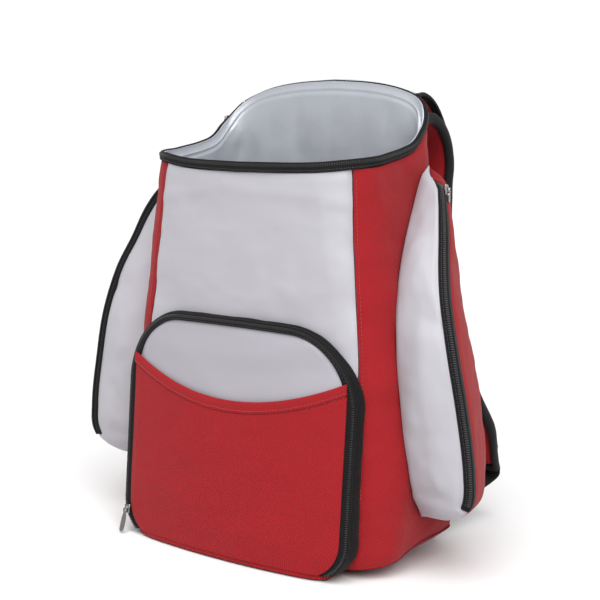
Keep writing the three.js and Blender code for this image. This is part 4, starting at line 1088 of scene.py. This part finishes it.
def inflate(obj, pressure, limit):
    """Swells a closed mesh as stuffed cloth, without gravity, each point within a limit of its start."""
    bpy.context.view_layer.objects.active = obj
    remesh = obj.modifiers.new("remesh", "REMESH")
    remesh.mode = "VOXEL"
    remesh.voxel_size = 0.0035
    bpy.ops.object.modifier_apply(modifier="remesh")
    start = np.empty(len(obj.data.vertices) * 3)
    obj.data.vertices.foreach_get("co", start)
    sim = obj.modifiers.new("cloth", "CLOTH")
    sim.settings.quality = 5
    sim.settings.mass = 0.3
    sim.settings.use_pressure = True
    sim.settings.uniform_pressure_force = pressure
    sim.settings.effector_weights.gravity = 0.0
    sim.settings.tension_stiffness = 30
    sim.settings.bending_stiffness = 2
    scene = bpy.context.scene
    for step in range(1, 21):
        scene.frame_set(step)
    shaped = obj.evaluated_get(bpy.context.evaluated_depsgraph_get())
    end = np.empty(len(start))
    shaped.data.vertices.foreach_get("co", end)
    obj.modifiers.remove(sim)
    scene.frame_set(1)
    move = (end - start).reshape(-1, 3)
    size = np.linalg.norm(move, axis=1, keepdims=True)
    move = move * np.minimum(1, limit / np.maximum(size, 1e-9))
    obj.data.vertices.foreach_set("co", (start.reshape(-1, 3) + move).ravel())
    obj.data.update()
    soften = obj.modifiers.new("soften", "SUBSURF")
    soften.levels = soften.render_levels = 1
    bpy.ops.object.modifier_apply(modifier="soften")
    obj.data.shade_smooth()


def strap(side, name):
    u, v = np.meshgrid(np.linspace(-1, 1, 17), np.linspace(0.012, 0.988, 110))
    half = STRAP_THICKNESS / 2 - 1.2
    crown = np.sqrt(np.clip(1 - (np.abs(u) ** 3) * 0.75, 0, 1))
    top = strap_point(side, u * (PAD_HALF + 1.5), v, half * crown)
    under = strap_point(side, u * (PAD_HALF + 1.5), v, -half * crown)
    pad = slab(f"strap_cloth_{name}", top, under, red_pad)
    inflate(pad, 4.0, 0.0018)
    dress(pad, "red_cloth", f"strap_pad_{name}")
    # Binding folded over the pad's edge
    edge, end = np.ones(130), np.ones(14)
    s = np.linspace(0, 1, len(edge))
    cross = np.linspace(1, -1, len(end) + 2)[1:-1]
    route_u = np.concatenate([-edge, -cross, edge, cross])
    route_s = np.concatenate([s, end, s[::-1], 0 * end])
    outer_half, thick = STRAP_WIDTH / 2, STRAP_THICKNESS / 2 + BINDING_PROUD
    inset = (outer_half - PAD_HALF) / STRAP_LENGTH
    rings = []
    half_section = ((0.0, thick - 1.2), (0.15, thick), (0.6, thick), (0.9, thick * 0.72))
    mirrored = tuple((t, -over) for t, over in half_section[::-1])
    for t, over in (*half_section, (1.0, 0.0), *mirrored):
        across = route_u * lerp(PAD_HALF, outer_half, t)
        along = lerp(lerp(inset, 1 - inset, route_s), route_s, t)
        rings.append(strap_point(side, across, along, over))
    rings = np.stack(rings, axis=1)
    wobble = 0.25 * rough(rings, (14, 14, 14), 2, 40.0 + side)
    centre = rings.mean(axis=1, keepdims=True)
    rings = rings + unit(rings - centre) * wobble[..., None]
    obj = tube(f"strap_edge_{name}", rings, binding_cloth, closed=True)
    dress(obj, "black_webbing", f"strap_binding_{name}")
    path = strap_point(side, route_u * (PAD_HALF + 1.2), lerp(inset, 1 - inset, route_s), thick - 0.1)
    _, facing = strap_frame(side, route_s)
    dress(stitches(f"strap_stitches_{name}", path, facing, black_thread, wide=0.7), "black_webbing")
    # Webbing on the lower half of the strap
    over = STRAP_THICKNESS / 2 + GAP + WEBBING_THICKNESS / 2
    s = np.linspace(WEBBING_TOP + 0.012, WEBBING_END - 0.006, 60)
    across, along = np.meshgrid(WEBBING_ACROSS, s)
    top, under = (strap_point(side, across, along, over + layer) for layer in (WEBBING_HALF, -WEBBING_HALF))
    dress(slab(f"strap_tape_{name}", top, under, webbing_cloth), "black_webbing", f"strap_webbing_{name}")
    buckle(side, name)
    lower_webbing(side, name)


def on_strap(side, along, over):
    """Place on a strap with its across, up and outward directions."""
    fall, outwards = strap_frame(side, np.array(along))
    return strap_point(side, 0.0, along, over), np.array([1.0, 0, 0]), -fall, outwards


def rounded_path(width, height, radius, steps=6):
    points = []
    for k, (cx, cy) in enumerate(((1, 1), (-1, 1), (-1, -1), (1, -1))):
        for t in np.linspace(0, np.pi / 2, steps):
            a = k * np.pi / 2 + t
            points.append((cx * (width / 2 - radius) + radius * math.cos(a), cy * (height / 2 - radius)
                           + radius * math.sin(a)))
    return np.array(points)


def squarish(count, power):
    """Cosine and sine round a section whose corners fill out as the power falls below 1."""
    angle = np.linspace(0, 2 * np.pi, count, endpoint=False)
    c, s = np.cos(angle), np.sin(angle)
    return np.sign(c) * np.abs(c) ** power, np.sign(s) * np.abs(s) ** power


def loop_tube(name, path, place, right, up, out, half_wide, half_high, material, closed=True, count=10):
    """A bar of rounded section carried along a flat path that lies in the plane of right and up."""
    points = place + path[:, :1] * right + path[:, 1:2] * up
    ahead = np.roll(points, -1, 0) - np.roll(points, 1, 0) if closed else np.gradient(points, axis=0)
    side_dir = unit(np.cross(out, unit(ahead)))
    c, s = squarish(count, 0.6)
    rings = points[:, None] + side_dir[:, None] * (c * half_wide)[:, None] + out * (s * half_high)[:, None]
    return tube(name, rings, material, closed=closed)


def join(name, parts):
    bpy.ops.object.select_all(action="DESELECT")
    for part in parts:
        part.select_set(True)
    bpy.context.view_layer.objects.active = parts[0]
    bpy.ops.object.join()
    parts[0].name = name
    return parts[0]


def buckle(side, name):
    place, right, up, out = on_strap(side, BUCKLE_PLACE, BUCKLE_OVER)
    frame_path = rounded_path(BUCKLE_WIDTH - 5, BUCKLE_HEIGHT - 5, 5)
    parts = [loop_tube("frame", frame_path, place, right, up, out, 2.5, 2.6, buckle_plastic)]
    for k, (y, lift) in enumerate(((0.0, 0.6), (-7.5, 1.4))):
        bar = np.array([(x, y) for x in np.linspace(-BUCKLE_WIDTH / 2 + 3, BUCKLE_WIDTH / 2 - 3, 8)])
        seat = place + out * lift
        parts.append(loop_tube(f"bar{k}", bar, seat, right, up, out, 2.2, 1.8, buckle_plastic, closed=False))
    lip = np.array([(x, BUCKLE_HEIGHT / 2 - 2 + 1.5 * math.cos(x / 9)) for x in np.linspace(-13, 13, 12)])
    seat = place + out * 2.0
    parts.append(loop_tube("lip", lip, seat, right, up, out, 1.8, 1.5, buckle_plastic, closed=False))
    obj = join(f"buckle_{name}", parts)
    dress(obj, "buckle_plastic", f"strap_buckle_{name}")


def catmull(points, count):
    """Smooth path through points, evenly spaced."""
    p = np.asarray(points, float)
    p = np.vstack([2 * p[0] - p[1], p, 2 * p[-1] - p[-2]])
    dense = []
    for k in range(1, len(p) - 2):
        a, b, c, d = p[k - 1:k + 3]
        for t in np.linspace(0, 1, 24, endpoint=False):
            bend = (2 * a - 5 * b + 4 * c - d) * t**2 + (3 * b - a - 3 * c + d) * t**3
            dense.append(0.5 * (2 * b + (c - a) * t + bend))
    dense.append(p[-2])
    dense = np.array(dense)
    steps = run_length(dense)
    at = np.linspace(0, steps[-1], count)
    return np.stack([np.interp(at, steps, dense[:, k]) for k in range(3)], -1)


def lower_webbing(side, name):
    over = BUCKLE_OVER
    place, _, up, _ = on_strap(side, BUCKLE_PLACE, over)
    start = place - up * (BUCKLE_HEIGHT / 2 + GAP)
    end, _, end_up, end_out = on_strap(side, 1.0, 0.0)
    below = lambda drop, away: end - end_up * drop + end_out * away
    root = skin(side * CORNER_GIRTH, WEBBING_ROOT_RISE, -WEBBING_SEAT)
    tail = below(WEBBING_DROOP, -over)
    path = catmull([start, below(0, over), below(WEBBING_DROOP * 0.8, over * 0.8),
                    below(WEBBING_DROOP, -over * 0.5), lerp(root, tail, 0.4), root], 70)
    ahead = unit(np.gradient(path, axis=0))
    right = np.array([1.0, 0, 0])
    normal = unit(np.cross(right, ahead))
    middle = path[:, None] + right * WEBBING_ACROSS[:, None]
    top, under = (middle + normal[:, None] * layer for layer in (WEBBING_HALF, -WEBBING_HALF))
    dress(slab(f"lower_tape_{name}", top, under, webbing_cloth), "black_webbing", f"lower_webbing_{name}")


for side, name in SIDES:
    strap(side, name)


# Zip sliders and their pullers


# Place along the slider's body, half width and half height there
SLIDER_SHELL = ((-4.4, 1.6, 0.7), (-3.9, 2.6, 1.25), (-2.4, 2.7, 1.5), (-0.4, 2.5, 1.6), (1.6, 3.3, 1.6),
                (3.4, 3.45, 1.3), (4.3, 2.7, 0.75))
# Place along the bridge and its height over the tape
SLIDER_BRIDGE = ((-3.2, 2.9), (-2.4, 3.9), (-0.8, 4.1), (0.8, 4.0), (2.0, 2.9))


def slider(name, place, out, down, pull, tilt=0.0):
    """Slider on a tape, with its puller hanging down, or swung outwards by a tilt."""
    out, down = unit(np.asarray(out, float)), unit(np.asarray(down, float))
    across = unit(np.cross(out, down))
    up = -down
    # Body: a waisted shell with a bridge for the puller
    rings = []
    c, s = squarish(20, 0.55)
    for y, half, high in SLIDER_SHELL:
        rings.append(place + up * y + np.outer(c * half, across) + np.outer(s * high, out) + out * 1.7)
    body = tube(f"{name}_slider_body", np.array(rings), slider_metal, sharp=40)
    arch = np.array([place + up * y + out * high for y, high in SLIDER_BRIDGE])
    bridge = rod(f"{name}_bridge", catmull(arch, 14), across, 0.9, 0.45)
    dress(join(f"{name}_slider", [body, bridge]), "zip_metal", f"{name}_slider")
    # Puller: a ring through the bridge and a flat tab
    top = place + out * 4.6 + up * 0.6
    up = unit(up - out * tilt)
    out = unit(np.cross(across, -up))
    round_angle = np.linspace(0, 2 * np.pi, 16, endpoint=False)
    ring_path = np.stack([2.0 * np.sin(round_angle), 2.0 * np.cos(round_angle) - 1.4], -1)
    eye = loop_tube(f"{name}_eye", ring_path, top, across, up, out, 0.65, 0.6, slider_metal, count=8)
    start, length = 2.6, pull - 3.0
    tab_rings = []
    c, s = squarish(16, 0.5)
    for t in np.linspace(0, 1, 14):
        half = 1.3 + 1.3 * smooth(t, 0.0, 0.35)
        half = half * math.sqrt(max(0.05, 1 - max(0.0, (t - 0.86) / 0.14) ** 2))
        seat = top - up * (start + length * t)
        tab_rings.append(seat + np.outer(c * half, across) + np.outer(s * 0.55, out))
    tab = tube(f"{name}_tab", np.array(tab_rings), slider_metal, sharp=40)
    dress(join(f"{name}_puller", [eye, tab]), "zip_metal", f"{name}_puller")


def rod(name, path, side_dir, half_wide, half_high):
    ahead = unit(np.gradient(path, axis=0))
    side_dir = np.broadcast_to(side_dir, path.shape)
    lift = unit(np.cross(ahead, side_dir))
    angle = np.linspace(0, 2 * np.pi, 10, endpoint=False)
    rings = (path[:, None] + side_dir[:, None] * (np.cos(angle) * half_wide)[None, :, None]
             + lift[:, None] * (np.sin(angle) * half_high)[None, :, None])
    return tube(name, rings, slider_metal, sharp=40)


down = np.array([0.0, 0, -1])
x = 5.0 - foot_half(FRONT_SLIDER_RISE, 0.0)
front_seat = np.array([x, pocket_face(x, FRONT_SLIDER_RISE) - SLIDER_SEAT, FRONT_SLIDER_RISE])
slider("front_pocket", front_seat, (0, -1, 0), down, PULLER_LENGTH - 2, tilt=0.3)
for side, name in SIDES:
    ridge = side_surface(np.array([SIDE_SLIDER_PLACE]), np.array([0.5]))[0] * (side, 1, 1)
    outwards = unit(np.array([side * 0.97, 0.25, 0]))
    slider(f"side_pocket_{name}", ridge + outwards * SIDE_SLIDER_SEAT, outwards, down, SIDE_PULLER_LENGTH)
rise = rim_rise(-MOUTH_SLIDER_GIRTH) + TAPE_HEIGHT / 2
mouth_seat = skin(-MOUTH_SLIDER_GIRTH, rise, -TAPE_PROUD - GAP)
slider("mouth", mouth_seat, mouth_seat - skin(-MOUTH_SLIDER_GIRTH, rise, 1), down, PULLER_LENGTH)


# Floor, light and camera

floor_mat, floor_tree, floor_shader = nodes_of("floor_paper", 0.9, 0.2)
grain = node(floor_tree, "ShaderNodeTexNoise", Scale=40.0, Detail=3.0)
shade = node(floor_tree, "ShaderNodeMapRange")
for socket, value in zip(("To Min", "To Max"), (0.71, 0.73)):
    shade.inputs[socket].default_value = value
floor_tree.links.new(grain.outputs["Fac"], shade.inputs["Value"])
floor_tree.links.new(shade.outputs["Result"], floor_shader.inputs["Base Color"])
bpy.ops.mesh.primitive_grid_add(x_subdivisions=8, y_subdivisions=8, size=14.0, location=(0, 0, -0.001))
floor = bpy.context.object
floor.name = "floor"
floor.data.materials.append(floor_mat)

# The room is white beyond the bag and half as bright on the camera's side
AWAY_FROM_CAMERA = (-0.572, 0.82, 0.0)
scene = bpy.context.scene
world = bpy.data.worlds.new("white_room")
world.use_nodes = True
air = world.node_tree
toward = air.nodes.new("ShaderNodeTexCoord")
behind = air.nodes.new("ShaderNodeVectorMath")
behind.operation = "DOT_PRODUCT"
behind.inputs[1].default_value = AWAY_FROM_CAMERA
air.links.new(toward.outputs["Generated"], behind.inputs[0])
glow = air.nodes.new("ShaderNodeMapRange")
for socket, value in zip(("From Min", "From Max", "To Min", "To Max"), (0.3, 0.85, 0.5, 1.02)):
    glow.inputs[socket].default_value = value
air.links.new(behind.outputs["Value"], glow.inputs["Value"])
air.links.new(glow.outputs["Result"], air.nodes["Background"].inputs["Strength"])
air.nodes["Background"].inputs["Color"].default_value = (1, 1, 1, 1)
scene.world = world
scene.view_settings.view_transform = "Standard"
scene.view_settings.look = "None"
scene.view_settings.exposure = 0.0


def soft_light(name, place, aim, size, power):
    data = bpy.data.lights.new(name, "AREA")
    data.shape = "SQUARE"
    data.size = size
    data.energy = power
    lamp = bpy.data.objects.new(name, data)
    lamp.location = place
    lamp.rotation_euler = (Vector(aim) - Vector(place)).to_track_quat("-Z", "Y").to_euler()
    scene.collection.objects.link(lamp)


soft_light("key", place=(1.7, -1.3, 1.3), aim=(0, 0, 0.22), size=0.9, power=15.0)
sky = bpy.data.lights.new("overhead", "SUN")
sky.energy = 3.6
sky.angle = math.radians(60)
lamp = bpy.data.objects.new("overhead", sky)
lamp.rotation_euler = Vector((-0.3, 0.55, -0.95)).to_track_quat("-Z", "Y").to_euler()
scene.collection.objects.link(lamp)

AZIMUTH, PITCH, ROLL = math.radians(34.88), math.radians(7.41), math.radians(1.36)
CAMERA_REACH, CAMERA_SIDE, CAMERA_RISE = 1152.0, -13.48, 368.9
camera = bpy.data.objects.new("camera", bpy.data.cameras.new("camera"))
camera.data.lens = 76.2
camera.data.sensor_width = 36.0
camera.data.clip_start = 0.05
east, north = math.cos(AZIMUTH), math.sin(AZIMUTH)
forward = Vector((-north * math.cos(PITCH), east * math.cos(PITCH), -math.sin(PITCH)))
right = Vector((east, north, 0))
up = right.cross(forward)
turned_right = right * math.cos(ROLL) + up * math.sin(ROLL)
turned_up = up * math.cos(ROLL) - right * math.sin(ROLL)
turn = Matrix((turned_right, turned_up, -forward)).transposed()
spot = Vector((-CAMERA_SIDE * east + CAMERA_REACH * north, -CAMERA_SIDE * north - CAMERA_REACH * east + SHIFT,
               CAMERA_RISE)) * 0.001
camera.matrix_world = Matrix.Translation(spot) @ turn.to_4x4()
scene.collection.objects.link(camera)
scene.camera = camera
